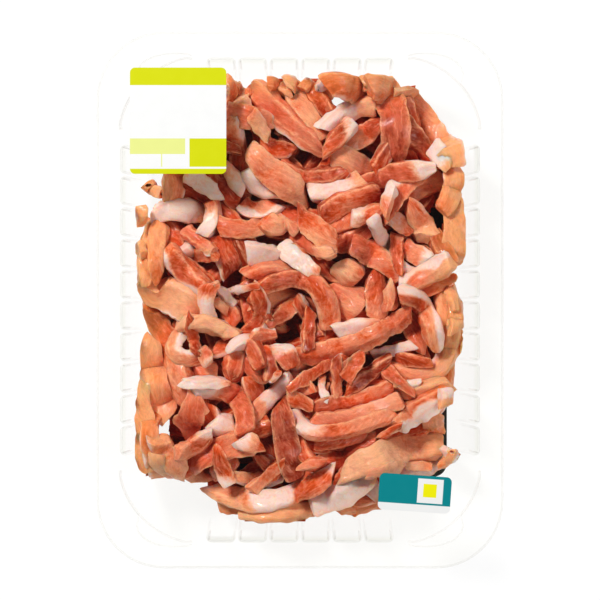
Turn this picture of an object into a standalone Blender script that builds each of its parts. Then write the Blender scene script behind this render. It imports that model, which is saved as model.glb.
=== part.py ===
"""A sealed meat tray pack: clear tray, lidding film, absorbent pad, a heap of pork strips,
a label and a sticker.

Metres, +Z up. The origin is at the middle of the tray's underside. X runs across the tray's
short side and Y along its long side, with the label at -X, +Y.
"""
import math
import random

import bmesh
import bpy
import numpy as np
from mathutils import Matrix, Vector

MM = 0.001

# Points nearer to each other than this count as one
MERGE = 0.001 * MM

# Tray
RIM_WIDTH = 144 * MM
RIM_LENGTH = 190 * MM
TRAY_HEIGHT = 40 * MM
OPENING_WIDTH = 128.6 * MM
OPENING_LENGTH = 172.8 * MM
OPENING_RADIUS = 30 * MM
RIM_RADIUS = 24 * MM
RIM_SKIRT = 2.5 * MM
WALL = 0.6 * MM
DRAFT = math.radians(8)
CORNER_STEPS = 7

# Between the corners the wall stands in from the opening, and pockets are pressed out of it,
# with narrow ribs between them
SIDE_INSET = 2.1 * MM
LONG_POCKETS = 10
LONG_PITCH = 11.1 * MM
SHORT_POCKETS = 6
SHORT_PITCH = 11.2 * MM
RIB = 1.4 * MM
POCKET_CHAMFER = 0.7 * MM
POCKET_DEPTH = 1.6 * MM
POCKET_LEAST_WIDTH = 8 * MM

# Heights of the wall's rings above the underside, and how far each turns in past the draft
WALL_TOP = 38.4 * MM
POCKET_FOOT = 5.5 * MM
FOOT_RINGS = ((2.2 * MM, 0.5 * MM), (0.6 * MM, 1.4 * MM), (0.0, 2.6 * MM))

# Touching pieces keep this gap
GAP = 0.3 * MM

# Film, label and sticker
FILM_MARGIN = 0.4 * MM
FILM_THICKNESS = 0.3 * MM
LABEL_WIDTH = 34 * MM
LABEL_LENGTH = 37.5 * MM
LABEL_CENTRE = (-43 * MM, 63.25 * MM)
LABEL_RADIUS = 1.8 * MM
STICKER_WIDTH = 25.5 * MM
STICKER_LENGTH = 12.9 * MM
STICKER_CENTRE = (40.5 * MM, -68.2 * MM)
STICKER_RADIUS = 1.8 * MM
STICKER_TURN = math.radians(-4)
PRINT_THICKNESS = 0.2 * MM

# Absorbent pad
PAD_WIDTH = 78 * MM
PAD_LENGTH = 120 * MM
PAD_THICKNESS = 1.8 * MM
PAD_RADIUS = 5 * MM
PAD_CENTRE = (15 * MM, -5 * MM)

# Heap, in millimetres from here on to match the strips' table
HEAP_SEED = 41
HEAP_HALF_X = 52
HEAP_HALF_Y = 72
HEAP_TOP = 36.5
STRIP_THICKNESS = 4.6
STRIP_UNEVEN = (0.9, 1.15)
STRIP_SINK = 0.9
STRIP_LIFT = (0.2, 0.6)
STRIP_ROLL = 14
WALL_CLEARANCE = 0.6
WALL_REST = 22.0
FOOT_ROUND = 6.0
FOOT_SLOPE = 0.7
BED_HALF_X = 55
BED_HALF_Y = 75
BED_HEIGHT = 10
MAP_HALF_X = 62
MAP_HALF_Y = 84
PATH_STEP = 0.8
SEGMENT_LENGTH = 9.5
CORE_HALF_X = 54
CORE_HALF_Y = 72
CORE_CELL = 7.0
CORE_DROP = 1.2
CORE_LEAST = 2.0

# What lies under the rim looks nearer to the middle from above than it is
SIGHT_SPREAD = 1.015

# Strips that fill the heap under those that show
FILL_STRIPS = 80
FILL_TRIES = 40
FILL_REACH_X = 50
FILL_REACH_Y = 70
FILL_HALF_LENGTH = (9, 20)
FILL_BOW = 5
FILL_WIDTH = (5.5, 8)

# Gaps that go deep into the heap: centre and radius in millimetres
WELLS = (
    (-25, 7, 5), (-36, -14, 5), (-6, -8, 8), (-13, 21, 4), (-6, 19, 4), (3, 10, 5),
    (-4, -25, 4), (27, -25, 5), (41, -47, 5), (-17, -58, 4), (-39, 24, 5), (-38, 13, 4),
    (25, 52, 4), (-22, 57, 3), (-18, 37, 4), (36, 19, 5), (-22, -36, 5), (0, -47, 4),
    (47, -4, 4), (-44, -40, 4), (-5, 34, 3), (-23, -62, 4), (12, -36, 4), (-28, -37, 4),
    (48.5, 30, 4),
)

# The strips that show: start, middle and end in millimetres, as seen from above, and width.
# The lowest come first, and each later strip lies on those before it.
STRIPS = (
    # Along the left wall
    ((-52, 28), (-54, 16), (-55, 5), 6.5),
    ((-49, 28), (-51, 18), (-50, 8), 6.5),
    ((-45, 46), (-45, 40), (-45.5, 33), 7.5),
    ((-53, -3), (-50, -9), (-45, -17), 7.5),
    ((-45, -18), (-43, -27), (-41, -38), 8),
    ((-56, -29), (-57.5, -38), (-56, -49), 5.5),
    ((-53.5, -46), (-55.5, -54), (-57.5, -62), 7),
    ((-53, -38), (-53, -50), (-50.5, -63), 6.5),
    ((-50, -54), (-49, -58), (-46, -63), 6.5),
    # Along the foot
    ((-43, -60), (-39, -62), (-35, -65), 7.5),
    ((-31, -62), (-27, -60), (-22, -57), 7.5),
    ((-29, -73), (-25, -74), (-20, -73), 6),
    ((-20, -75), (-8, -76), (6, -74), 6),
    ((13, -75), (22, -74), (33, -72), 5),
    ((20, -71), (29, -69), (40, -66), 6.5),
    ((34, -63), (45, -60), (55, -54.5), 6.5),
    # Along the right wall
    ((33, -25), (49, -25), (54, -8), 7),
    ((54, -12), (55, -4), (53, 6), 5),
    ((41, 3), (48, 5), (55, 8), 5.5),
    ((53.5, 37), (54.5, 25), (53, 12), 7.5),
    ((48, 23), (50, 19), (53, 14), 6),
    ((53, 48), (54, 40), (50, 31), 7),
    ((36, 75), (46.5, 64), (57, 47), 8.5),
    # Along the head
    ((22, 79), (26, 76), (31, 72), 5.5),
    ((36, 72), (39, 66), (41, 60), 7.5),
    ((-26, 78), (-22, 73), (-18, 66), 6),
    ((-11, 78), (-6, 73), (-1, 67), 6),
    ((9, 82), (8, 77), (7, 72), 6.5),
    ((16, 82), (13, 78), (9, 72), 6.5),
    ((-42, 73), (-37, 64), (-33, 54), 7.5),
    ((-52, 61), (-45, 57), (-36, 50), 7.5),
    # Lower strips that show in the middle
    ((29, 64), (23, 59), (16, 55), 8),
    ((36, 63), (41, 58), (47, 52), 8.5),
    ((35, 25), (41, 19), (47, 14), 5.5),
    ((-28, 23), (-25, 16), (-25, 9), 9),
    ((-21, 21), (-17, 15), (-14, 10), 7),
    ((2, 18), (8, 12), (15, 8), 7),
    ((9, 4), (15, 1), (22, -3), 10),
    ((18, -27), (24, -28), (32, -28), 7.5),
    ((-19, -21), (-15, -25), (-11, -29), 7),
    ((-19, -27), (-17, -31), (-15, -36), 6),
    ((-12, -14), (-9, -20), (-4, -26), 4.5),
    ((-14, -42), (-12, -49), (-10, -56), 9),
    ((2, -52), (9, -51), (20, -48), 5.5),
    ((5, -50), (18, -48), (31, -43), 5.5),
    ((-22, -47), (-16, -46), (-10, -44), 7),
    ((-36, 54), (-30, 44), (-22, 35), 7),
    # Middle strips
    ((-25, 65), (-18, 64.5), (-10, 61), 8),
    ((-25, 63), (-22, 52), (-20, 41), 7),
    ((-40, 46), (-35, 42), (-28, 38), 6.5),
    ((-27, 47), (-24, 43), (-20, 38), 5),
    ((-5, 81), (0, 70), (9, 57), 7),
    ((2, 78), (6, 72), (11, 65), 6),
    ((9, 79), (17, 76.5), (25, 70), 8.5),
    ((-14, 57), (-9, 54), (-2, 53), 6.5),
    ((11, 53), (18, 49), (25, 46), 9),
    ((50.5, 43), (42, 39), (33, 31.5), 8),
    ((47, 55), (50, 50), (52, 46), 7.5),
    ((-21, 34), (-15, 32), (-8, 34), 6.5),
    ((29, 33), (20, 30), (7, 25), 7),
    ((8, 21), (16, 20.5), (26, 26), 7),
    ((-4, 22), (0, 21), (6, 18), 5.5),
    ((30, 29), (34, 28), (39, 24), 5),
    ((37, 19), (41, 16), (45, 14), 6),
    ((14, 13), (18, 10), (22, 8), 9.5),
    ((26, 11), (27, 1), (27, -8), 7.5),
    ((51, 3), (51, -3), (49, -12), 6),
    ((38, -5), (41, -13), (43, -19), 7),
    ((27, -18.5), (37, -21), (47, -22.5), 5.5),
    ((33, -34), (43, -31.5), (54.5, -30), 6),
    ((46, -38), (47, -42), (49, -47), 6),
    ((28, -50), (34, -47), (47, -46), 5.5),
    ((4, -58), (14, -56), (27, -50), 6),
    ((-2, -45), (0, -52), (4, -58), 6.5),
    ((-41, 20), (-36, 19), (-30, 18), 8.5),
    ((-41, 13), (-37, 9), (-31, 5), 6),
    ((-29, 27), (-20, 25), (-12, 27), 7),
    ((-28, -3), (-25, -5), (-23, -9), 6.5),
    ((-37, -26), (-34, -25), (-30, -26), 7),
    ((-31, -43), (-28, -44), (-23, -45), 7.5),
    ((-14, -17), (-11, -21), (-10, -27), 6),
    ((-3, -23), (2, -23), (8, -25), 5.5),
    ((-41, -58), (-31, -53.5), (-17, -50), 9.5),
    ((-50, -49), (-46, -55), (-41, -63), 8),
    ((-24, -62), (-15, -64), (-6, -62), 5),
    # Upper strips
    ((-17, 76), (-5, 64), (8, 53), 8),
    ((27, 69), (18, 67), (9, 60), 7.5),
    ((19, 63), (13, 57), (8, 51), 6),
    ((24, 81), (33, 67), (32, 47), 9),
    ((-7, 48), (3, 43.5), (16, 46), 6),
    ((42, 44), (35, 38), (29.5, 28), 6.5),
    ((21, 40), (33, 44.5), (48, 46.5), 7),
    ((-19, 46), (-14, 41), (-8, 38), 7.5),
    ((-18, 54), (-12, 47), (2, 37), 9),
    ((3, 38), (11, 39.5), (23, 42), 8),
    ((28, 38), (18, 35), (7, 29), 8),
    ((18, 29), (23, 29.5), (29, 33), 6),
    ((33, 41), (31, 36), (29, 30), 4),
    ((-1, 32), (5, 25), (13, 19), 7),
    ((-13, 28), (-10, 27), (-5, 27), 7.5),
    ((38, 34), (42, 28), (46, 21.5), 8.5),
    ((25, 29), (28, 24), (33, 17), 5.5),
    ((-19, 17), (-11, 15), (-3, 14), 8),
    ((18, 20), (27, 15), (38, 8), 7.5),
    ((35, 4), (44, 9), (53, 14), 8),
    ((-53, 30), (-42, 32), (-33, 28), 8),
    ((-32, 35), (-31, 29), (-35, 23), 5.5),
    ((-47, 17), (-41, 10), (-33, 3), 8),
    ((-54, 4), (-45, 1), (-34, -5), 12),
    ((-31, 6), (-33, 0), (-32, -9), 5.5),
    ((-15, 0), (-9, 0.5), (-2, 1), 8),
    ((-18, 8), (-6, 10), (8, 3), 6),
    ((-15, 4), (4, 6), (11, -10), 7.5),
    ((35, 2), (44, -3), (48, -18), 7.5),
    ((12, -11), (20, -9.5), (28, -9), 6.5),
    ((39, -4), (20, -15), (-4, -20), 7.5),
    ((-17, 4), (-15, -9), (-31, -18), 6.5),
    ((-42, -10), (-34, -8), (-23, -13), 5.5),
    ((-42, -11), (-44, -19), (-32, -20), 6),
    ((-22, -18), (-23, -23), (-25, -28), 8),
    ((-24, -18), (-18, -16), (-14, -24), 5.5),
    ((-9, -16), (-6, -19), (-3, -24), 7),
    ((16, -20), (13, -27), (10, -34), 7.5),
    ((7, -31), (4, -36), (1, -42), 7.5),
    ((-3, -28), (0, -30), (4, -33), 6.5),
    ((-18, -42), (-10, -34), (-3, -28), 6.5),
    ((5, -39), (20, -36), (33, -30.5), 7.5),
    ((4, -42), (18, -41), (36, -35), 5.5),
    ((-3, -39), (8, -46.5), (34, -40), 6.5),
    ((34, -45), (41, -39), (52, -33), 7.5),
    ((-53, -13), (-52, -27), (-47, -42), 7.5),
    ((-35, -34), (-38, -40), (-42, -46), 8.5),
    ((-39, -31), (-23, -34), (-20, -47), 7.5),
    ((-43, -54), (-38, -52), (-31, -47), 6.5),
    ((-15, -55), (-12, -58), (-7, -61), 6),
    ((-21, -49), (-18, -50), (-14, -51), 6.5),
    ((-33, -67), (-10, -71), (12, -61), 7.5),
    ((-7, -37), (-5, -50), (-2, -63), 7),
    ((14, -64), (20, -59.5), (30, -54), 5),
    ((23, -63), (25, -66), (29, -70), 6.5),
    ((4, -73), (15, -68), (27, -58), 9),
    ((15, -61), (33, -54.5), (51, -52.5), 9.5),
)


def clear_scene():
    for obj in list(bpy.data.objects):
        bpy.data.objects.remove(obj)


def make_material(name, colour, roughness, metallic=0.0, transmission=0.0):
    material = bpy.data.materials.new(name)
    material.use_nodes = True
    shader = material.node_tree.nodes["Principled BSDF"]
    shader.inputs["Base Color"].default_value = (*colour, 1.0)
    shader.inputs["Roughness"].default_value = roughness
    shader.inputs["Metallic"].default_value = metallic
    shader.inputs["Transmission Weight"].default_value = transmission
    return material


def add_object(name, bm, material):
    """Put a bmesh in the scene as one named object with its material."""
    mesh = bpy.data.meshes.new(name)
    bm.to_mesh(mesh)
    bm.free()
    mesh.materials.append(material)
    obj = bpy.data.objects.new(name, mesh)
    bpy.context.scene.collection.objects.link(obj)
    return obj


def rounded_rectangle(width, length, radius, steps):
    """Corner points of a rounded rectangle about the origin, counter-clockwise."""
    points = []
    for quarter, (side_x, side_y) in enumerate(((1, 1), (-1, 1), (-1, -1), (1, -1))):
        centre = Vector((side_x * (width / 2 - radius), side_y * (length / 2 - radius)))
        for step in range(steps + 1):
            angle = (quarter + step / steps) * math.pi / 2
            points.append(centre + radius * Vector((math.cos(angle), math.sin(angle))))
    return points


def plate(width, length, radius, bottom, thickness, steps=4):
    """A flat rounded plate as a closed bmesh."""
    bm = bmesh.new()
    outline = rounded_rectangle(width, length, radius, steps)
    face = bm.faces.new([bm.verts.new((p.x, p.y, bottom)) for p in outline])
    raised = bmesh.ops.extrude_face_region(bm, geom=[face])["geom"]
    top = [item for item in raised if isinstance(item, bmesh.types.BMVert)]
    bmesh.ops.translate(bm, verts=top, vec=(0, 0, thickness))
    bmesh.ops.recalc_face_normals(bm, faces=bm.faces)
    return bm


# Tray

CORNER_X = OPENING_WIDTH / 2 - OPENING_RADIUS
CORNER_Y = OPENING_LENGTH / 2 - OPENING_RADIUS


def outward(x, y):
    """Unit direction out of the opening's outline, which is round about the corner centres."""
    over = Vector((max(abs(x) - CORNER_X, 0.0), max(abs(y) - CORNER_Y, 0.0)))
    over.normalize()
    return Vector((math.copysign(over.x, x), math.copysign(over.y, y)))


def opening_ring():
    """The opening's outline: round corners, and a point at each rib of the straight sides."""
    corners = rounded_rectangle(OPENING_WIDTH, OPENING_LENGTH, OPENING_RADIUS, CORNER_STEPS)
    per_corner = CORNER_STEPS + 1
    short_ribs = [(i - SHORT_POCKETS / 2) * SHORT_PITCH for i in range(SHORT_POCKETS + 1)]
    long_ribs = [(i - LONG_POCKETS / 2) * LONG_PITCH for i in range(LONG_POCKETS + 1)]
    half_x = OPENING_WIDTH / 2
    half_y = OPENING_LENGTH / 2
    sides = (
        [Vector((x, half_y)) for x in reversed(short_ribs)],
        [Vector((-half_x, y)) for y in reversed(long_ribs)],
        [Vector((x, -half_y)) for x in short_ribs],
        [Vector((half_x, y)) for y in long_ribs],
    )
    ring = []
    for quarter, side in enumerate(sides):
        ring += corners[quarter * per_corner:(quarter + 1) * per_corner]
        ring += side
    return ring


def rim_point(co):
    """Where a point of the opening's outline goes on the rim's outer edge."""
    half_x = RIM_WIDTH / 2 - WALL
    half_y = RIM_LENGTH / 2 - WALL
    radius = RIM_RADIUS - WALL
    over_x = abs(co.x) - CORNER_X
    over_y = abs(co.y) - CORNER_Y
    if over_x < -MERGE:
        return Vector((co.x, math.copysign(half_y, co.y)))
    if over_y < -MERGE:
        return Vector((math.copysign(half_x, co.x), co.y))
    angle = math.atan2(over_y, over_x)
    return Vector((
        math.copysign(half_x - radius + radius * math.cos(angle), co.x),
        math.copysign(half_y - radius + radius * math.sin(angle), co.y),
    ))


def extrude_ring(bm, edges, points, place):
    """Extrude an open ring of edges, and place each new vertex by the opening point that the
    old one came from."""
    made = bmesh.ops.extrude_edge_only(bm, edges=edges)["geom"]
    new_edges = [item for item in made if isinstance(item, bmesh.types.BMEdge)]
    old_verts = {vert for edge in edges for vert in edge.verts}
    for vert in [item for item in made if isinstance(item, bmesh.types.BMVert)]:
        source = next(
            edge.other_vert(vert) for edge in vert.link_edges
            if edge.other_vert(vert) in old_verts)
        points[vert] = points[source]
        vert.co = place(points[vert])
    return new_edges


def draft_inset(height):
    """How far the wall stands in from the opening at a height above the underside."""
    return (TRAY_HEIGHT - height) * math.tan(DRAFT)


def side_inset(co, height):
    """How far the wall stands in from the opening. The corners stand out at the top alone."""
    at_corner = abs(co.x) > CORNER_X + MERGE and abs(co.y) > CORNER_Y + MERGE
    return 0.0 if at_corner and height >= WALL_TOP else SIDE_INSET


def on_wall(point, height, turn_in):
    """Where a point of the opening goes on the wall at a height."""
    base = Vector((
        min(max(point.x, -CORNER_X), CORNER_X), min(max(point.y, -CORNER_Y), CORNER_Y)))
    reach = OPENING_RADIUS - side_inset(point, height) - draft_inset(height) - turn_in
    spot = base + outward(point.x, point.y) * reach
    return Vector((spot.x, spot.y, height))


def build_tray():
    bm = bmesh.new()
    flange = TRAY_HEIGHT - WALL
    outline = opening_ring()
    verts = [bm.verts.new(on_wall(point, flange, 0.0)) for point in outline]
    points = dict(zip(verts, outline))
    ring = [bm.edges.new((a, b)) for a, b in zip(verts, verts[1:] + verts[:1])]

    def on_rim(point, height):
        spot = rim_point(point)
        return Vector((spot.x, spot.y, height))

    outer = extrude_ring(bm, ring, points, lambda point: on_rim(point, flange))
    extrude_ring(bm, outer, points, lambda point: on_rim(point, TRAY_HEIGHT - RIM_SKIRT))

    top = extrude_ring(bm, ring, points, lambda point: on_wall(point, WALL_TOP, 0.0))
    before = set(bm.faces)
    foot = extrude_ring(bm, top, points, lambda point: on_wall(point, POCKET_FOOT, 0.0))
    band = set(bm.faces) - before
    for height, turn_in in FOOT_RINGS:
        foot = extrude_ring(bm, foot, points, lambda point: on_wall(point, height, turn_in))
    bmesh.ops.contextual_create(bm, geom=foot)
    bmesh.ops.recalc_face_normals(bm, faces=bm.faces)
    floor = min(bm.faces, key=lambda face: face.calc_center_median().z)
    if floor.normal.z > 0:
        bmesh.ops.reverse_faces(bm, faces=bm.faces)

    half_x = SHORT_POCKETS * SHORT_PITCH / 2
    half_y = LONG_POCKETS * LONG_PITCH / 2
    pockets = []
    for face in band:
        centre = face.calc_center_median()
        straight = abs(centre.x) < half_x or abs(centre.y) < half_y
        if straight and face.calc_area() > POCKET_LEAST_WIDTH * (WALL_TOP - POCKET_FOOT):
            pockets.append(face)
    bmesh.ops.inset_individual(bm, faces=pockets, thickness=RIB / 2)
    bmesh.ops.inset_individual(
        bm, faces=pockets, thickness=POCKET_CHAMFER, depth=POCKET_DEPTH)

    plastic = make_material("tray_plastic", (0.92, 0.92, 0.90), 0.12, transmission=0.8)
    tray = add_object("tray", bm, plastic)
    shell = tray.modifiers.new("wall", "SOLIDIFY")
    shell.thickness = WALL
    shell.offset = -1.0
    shell.use_even_offset = True
    return tray


# Film, label, sticker and pad

FILM_BOTTOM = TRAY_HEIGHT + GAP
PRINT_BOTTOM = FILM_BOTTOM + FILM_THICKNESS + GAP
PAD_BOTTOM = WALL + GAP


def build_film():
    bm = plate(
        RIM_WIDTH - 2 * FILM_MARGIN, RIM_LENGTH - 2 * FILM_MARGIN,
        RIM_RADIUS - FILM_MARGIN, FILM_BOTTOM, FILM_THICKNESS, steps=8)
    film = make_material("clear_film", (0.95, 0.95, 0.95), 0.05, transmission=1.0)
    return add_object("lidding_film", bm, film)


def build_label():
    bm = plate(LABEL_WIDTH, LABEL_LENGTH, LABEL_RADIUS, PRINT_BOTTOM, PRINT_THICKNESS)
    bmesh.ops.translate(bm, verts=bm.verts, vec=(*LABEL_CENTRE, 0))
    return add_object("label", bm, make_material("label_paper", (0.85, 0.88, 0.72), 0.4))


def build_sticker():
    bm = plate(STICKER_WIDTH, STICKER_LENGTH, STICKER_RADIUS, PRINT_BOTTOM, PRINT_THICKNESS)
    turn = Matrix.Rotation(STICKER_TURN, 4, "Z")
    bmesh.ops.transform(bm, verts=bm.verts, matrix=turn)
    bmesh.ops.translate(bm, verts=bm.verts, vec=(*STICKER_CENTRE, 0))
    return add_object("sticker", bm, make_material("sticker_paper", (0.0, 0.24, 0.26), 0.4))


def build_pad():
    bm = plate(PAD_WIDTH, PAD_LENGTH, PAD_RADIUS, PAD_BOTTOM, PAD_THICKNESS)
    bmesh.ops.translate(bm, verts=bm.verts, vec=(*PAD_CENTRE, 0))
    return add_object("absorbent_pad", bm, make_material("pad_fleece", (0.02, 0.03, 0.02), 0.9))


# Heap of strips, worked out in millimetres

def wall_gap(x, y):
    """How far a point stands out past the corner centres' rectangle, and its nearest base point."""
    base_x = np.clip(x, -CORNER_X / MM, CORNER_X / MM)
    base_y = np.clip(y, -CORNER_Y / MM, CORNER_Y / MM)
    return np.maximum(np.hypot(x - base_x, y - base_y), 1e-6), base_x, base_y


def wall_reach(height):
    """How far out the wall's inner face stands at a height, less the gap that meat keeps to it."""
    foot = np.clip(FOOT_ROUND - height, 0.0, FOOT_ROUND) * FOOT_SLOPE
    lean_in = (TRAY_HEIGHT / MM - height) * math.tan(DRAFT)
    return (OPENING_RADIUS - SIDE_INSET - WALL) / MM - WALL_CLEARANCE - lean_in - foot


def floor_heights(x, y, margin=4.0):
    """The lowest height for meat: just clear of the pad, the tray's floor or its leaning wall."""
    on_pad = np.abs(x - PAD_CENTRE[0] / MM) < PAD_WIDTH / 2 / MM + margin
    on_pad &= np.abs(y - PAD_CENTRE[1] / MM) < PAD_LENGTH / 2 / MM + margin
    over_pad = (PAD_BOTTOM + PAD_THICKNESS + GAP) / MM
    levels = np.linspace(0.0, WALL_REST, 41)
    wall_level = np.interp(wall_gap(x, y)[0], wall_reach(levels), levels)
    return np.maximum(np.where(on_pad, over_pad, PAD_BOTTOM / MM), wall_level)


def keep_inside(x, y, height, margin):
    """Move points in from the wall where it has no room for them."""
    out, base_x, base_y = wall_gap(x, y)
    shrink = np.minimum(1.0, (wall_reach(height) - margin) / out)
    return base_x + (x - base_x) * shrink, base_y + (y - base_y) * shrink


def bed_height(x, y):
    """Thickness of the packed meat under the strips: a low dome, thin at the edge and the wells."""
    edge = (np.abs(x) / BED_HALF_X) ** 4 + (np.abs(y) / BED_HALF_Y) ** 4
    height = BED_HEIGHT * np.clip(1 - edge, 0, 1) ** 0.6
    for well_x, well_y, radius in WELLS:
        distance = np.hypot(x - well_x, y - well_y) / radius
        height = height * (1 - 0.9 * np.exp(-distance ** 2))
    return height


class Pile:
    """Height map of the heap while strips are laid on it, one cell a millimetre."""

    def __init__(self):
        x = np.arange(-MAP_HALF_X, MAP_HALF_X + 1)
        y = np.arange(-MAP_HALF_Y, MAP_HALF_Y + 1)
        self.grid_x, self.grid_y = np.meshgrid(x, y, indexing="ij")
        self.top = floor_heights(self.grid_x, self.grid_y) + bed_height(self.grid_x, self.grid_y)

    def cells(self, x, y):
        column = np.clip(np.rint(x).astype(int) + MAP_HALF_X, 0, 2 * MAP_HALF_X)
        row = np.clip(np.rint(y).astype(int) + MAP_HALF_Y, 0, 2 * MAP_HALF_Y)
        return column, row

    def lay(self, path, width, thickness, lift=0.0):
        """Drape a strip along a path. Returns its centre line, millimetres."""
        path_x, path_y = path[:, 0], path[:, 1]
        along = np.gradient(path, axis=0)
        along /= np.maximum(np.linalg.norm(along, axis=1, keepdims=True), 1e-6)
        across = np.linspace(-0.5, 0.5, 7) * width
        side_x = path_x[:, None] - along[:, 1:2] * across
        side_y = path_y[:, None] + along[:, 0:1] * across
        under = self.top[self.cells(side_x, side_y)]
        carried = np.sort(under, axis=1)[:, -4:].mean(axis=1)
        reach = 2
        padded = np.pad(carried, reach, mode="edge")
        carried = np.max([padded[i:i + len(carried)] for i in range(2 * reach + 1)], axis=0)
        spread = 7
        padded = np.pad(carried, spread, mode="edge")
        weights = np.hanning(2 * spread + 3)[1:-1]
        carried = np.convolve(padded, weights / weights.sum(), mode="valid")
        lowest = floor_heights(side_x, side_y).max(axis=1) + lift
        bottom = np.maximum(carried - STRIP_SINK, lowest)
        bottom = np.minimum(bottom, HEAP_TOP - thickness)
        finer = np.linspace(-0.5, 0.5, 15) * (width - 1.0)
        cover_x = path_x[:, None] - along[:, 1:2] * finer
        cover_y = path_y[:, None] + along[:, 0:1] * finer
        cover = np.broadcast_to((bottom + thickness)[:, None], cover_x.shape)
        np.maximum.at(self.top, self.cells(cover_x, cover_y), cover)
        middle = bottom + thickness / 2
        inside_x, inside_y = keep_inside(path_x, path_y, bottom, width / 2)
        return np.column_stack((inside_x, inside_y, middle))


def bend_path(start, middle, end):
    """Evenly spaced points on the curve that passes through three points."""
    start, middle, end = (np.array(point, dtype=float) for point in (start, middle, end))
    pull = 2 * middle - (start + end) / 2
    length = np.linalg.norm(middle - start) + np.linalg.norm(end - middle)
    count = max(int(length / PATH_STEP), 4)
    t = np.linspace(0, 1, count + 1)[:, None]
    return (1 - t) ** 2 * start + 2 * t * (1 - t) * pull + t ** 2 * end


def near_well(path):
    """Whether a path covers the middle of a well."""
    for x, y, radius in WELLS:
        if np.hypot(path[:, 0] - x, path[:, 1] - y).min() < radius:
            return True
    return False


def inside_outline(x, y):
    """The heap's outline, narrower than the tray and uneven along its edge."""
    angle = math.atan2(y / HEAP_HALF_Y, x / HEAP_HALF_X)
    wobble = 1 + 0.03 * math.sin(3 * angle + 1.0) + 0.02 * math.sin(7 * angle)
    return (abs(x) / HEAP_HALF_X) ** 3 + (abs(y) / HEAP_HALF_Y) ** 3 < wobble


def fill_path(draw):
    """A seeded place for a strip of the fill. Returns its path and width."""
    x = draw.uniform(-FILL_REACH_X, FILL_REACH_X)
    y = draw.uniform(-FILL_REACH_Y, FILL_REACH_Y)
    turn = draw.uniform(0, math.pi)
    half = draw.uniform(*FILL_HALF_LENGTH)
    bow = draw.uniform(-FILL_BOW, FILL_BOW)
    step_x = half * math.cos(turn)
    step_y = half * math.sin(turn)
    path = bend_path(
        (x - step_x, y - step_y),
        (x - bow * math.sin(turn), y + bow * math.cos(turn)),
        (x + step_x, y + step_y))
    return path, draw.uniform(*FILL_WIDTH)


def lay_fill(pile):
    """Seeded strips under those that show, each in the lowest of the places tried."""
    draw = random.Random(HEAP_SEED)
    for _ in range(FILL_STRIPS):
        lowest = None
        for _ in range(FILL_TRIES):
            path, width = fill_path(draw)
            ends_in = inside_outline(*path[0]) and inside_outline(*path[-1])
            if not ends_in or near_well(path):
                continue
            height = pile.top[pile.cells(path[:, 0], path[:, 1])].mean()
            if lowest is None or height < lowest[0]:
                lowest = (height, path, width)
        if lowest:
            pile.lay(lowest[1], lowest[2], STRIP_THICKNESS)


def strip_solid(line, width, thickness, roll):
    """A cut strip of rectangular section swept along its centre line, in metres."""
    steps = np.linalg.norm(np.diff(line, axis=0), axis=1)
    run = np.concatenate(([0.0], np.cumsum(steps)))
    segments = max(2, round(run[-1] / SEGMENT_LENGTH))
    stations = np.linspace(0, run[-1], segments + 1)
    picked = np.column_stack([np.interp(stations, run, line[:, axis]) for axis in range(3)])
    bm = bmesh.new()
    bmesh.ops.create_grid(bm, x_segments=1, y_segments=1, size=0.5)
    section = [vert.co.copy() for vert in bm.verts]
    faces = list(bm.faces)
    rings = [list(bm.verts)]
    for step in range(segments):
        made = bmesh.ops.extrude_face_region(bm, geom=faces)["geom"]
        if step:
            bmesh.ops.delete(bm, geom=faces, context="FACES_ONLY")
        faces = [item for item in made if isinstance(item, bmesh.types.BMFace)]
        ring = [item for item in made if isinstance(item, bmesh.types.BMVert)]
        rings.append(sorted(ring, key=lambda vert: section.index(vert.co)))
    for index, ring in enumerate(rings):
        ahead = Vector(picked[min(index + 1, segments)] - picked[max(index - 1, 0)]).normalized()
        side = Vector((0, 0, 1)).cross(ahead).normalized()
        above = ahead.cross(side)
        turn = Matrix.Rotation(roll, 3, ahead)
        side, above = turn @ side, turn @ above
        for vert, corner in zip(ring, section):
            spot = Vector(picked[index]) + side * corner.x * width + above * corner.y * thickness
            vert.co = spot * MM
    bmesh.ops.recalc_face_normals(bm, faces=bm.faces)
    return bm


def core_solid(pile):
    """The body of the heap under the strips that show: a closed height field."""
    columns = round(2 * CORE_HALF_X / CORE_CELL)
    rows = round(2 * CORE_HALF_Y / CORE_CELL)
    half_size = Vector((CORE_HALF_X, CORE_HALF_Y))
    bm = bmesh.new()
    bmesh.ops.create_grid(bm, x_segments=columns, y_segments=rows, size=1.0)
    outside = [
        face for face in bm.faces
        if not inside_outline(*(face.calc_center_median().xy * half_size))]
    bmesh.ops.delete(bm, geom=outside, context="FACES")
    base = list(bm.faces)
    made = bmesh.ops.extrude_face_region(bm, geom=base)["geom"]
    top_verts = {item for item in made if isinstance(item, bmesh.types.BMVert)}
    for vert in bm.verts:
        x, y = vert.co.xy * half_size
        low = float(floor_heights(np.array(x), np.array(y), margin=CORE_CELL + 1.0))
        if vert in top_verts:
            column, row = pile.cells(np.array(x), np.array(y))
            patch = pile.top[max(column - 2, 0):column + 3, max(row - 2, 0):row + 3]
            height = max(float(patch.mean()) - CORE_DROP, low + CORE_LEAST)
        else:
            height = low
        vert.co = Vector((x, y, height)) * MM
    bmesh.ops.recalc_face_normals(bm, faces=bm.faces)
    return bm


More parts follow.
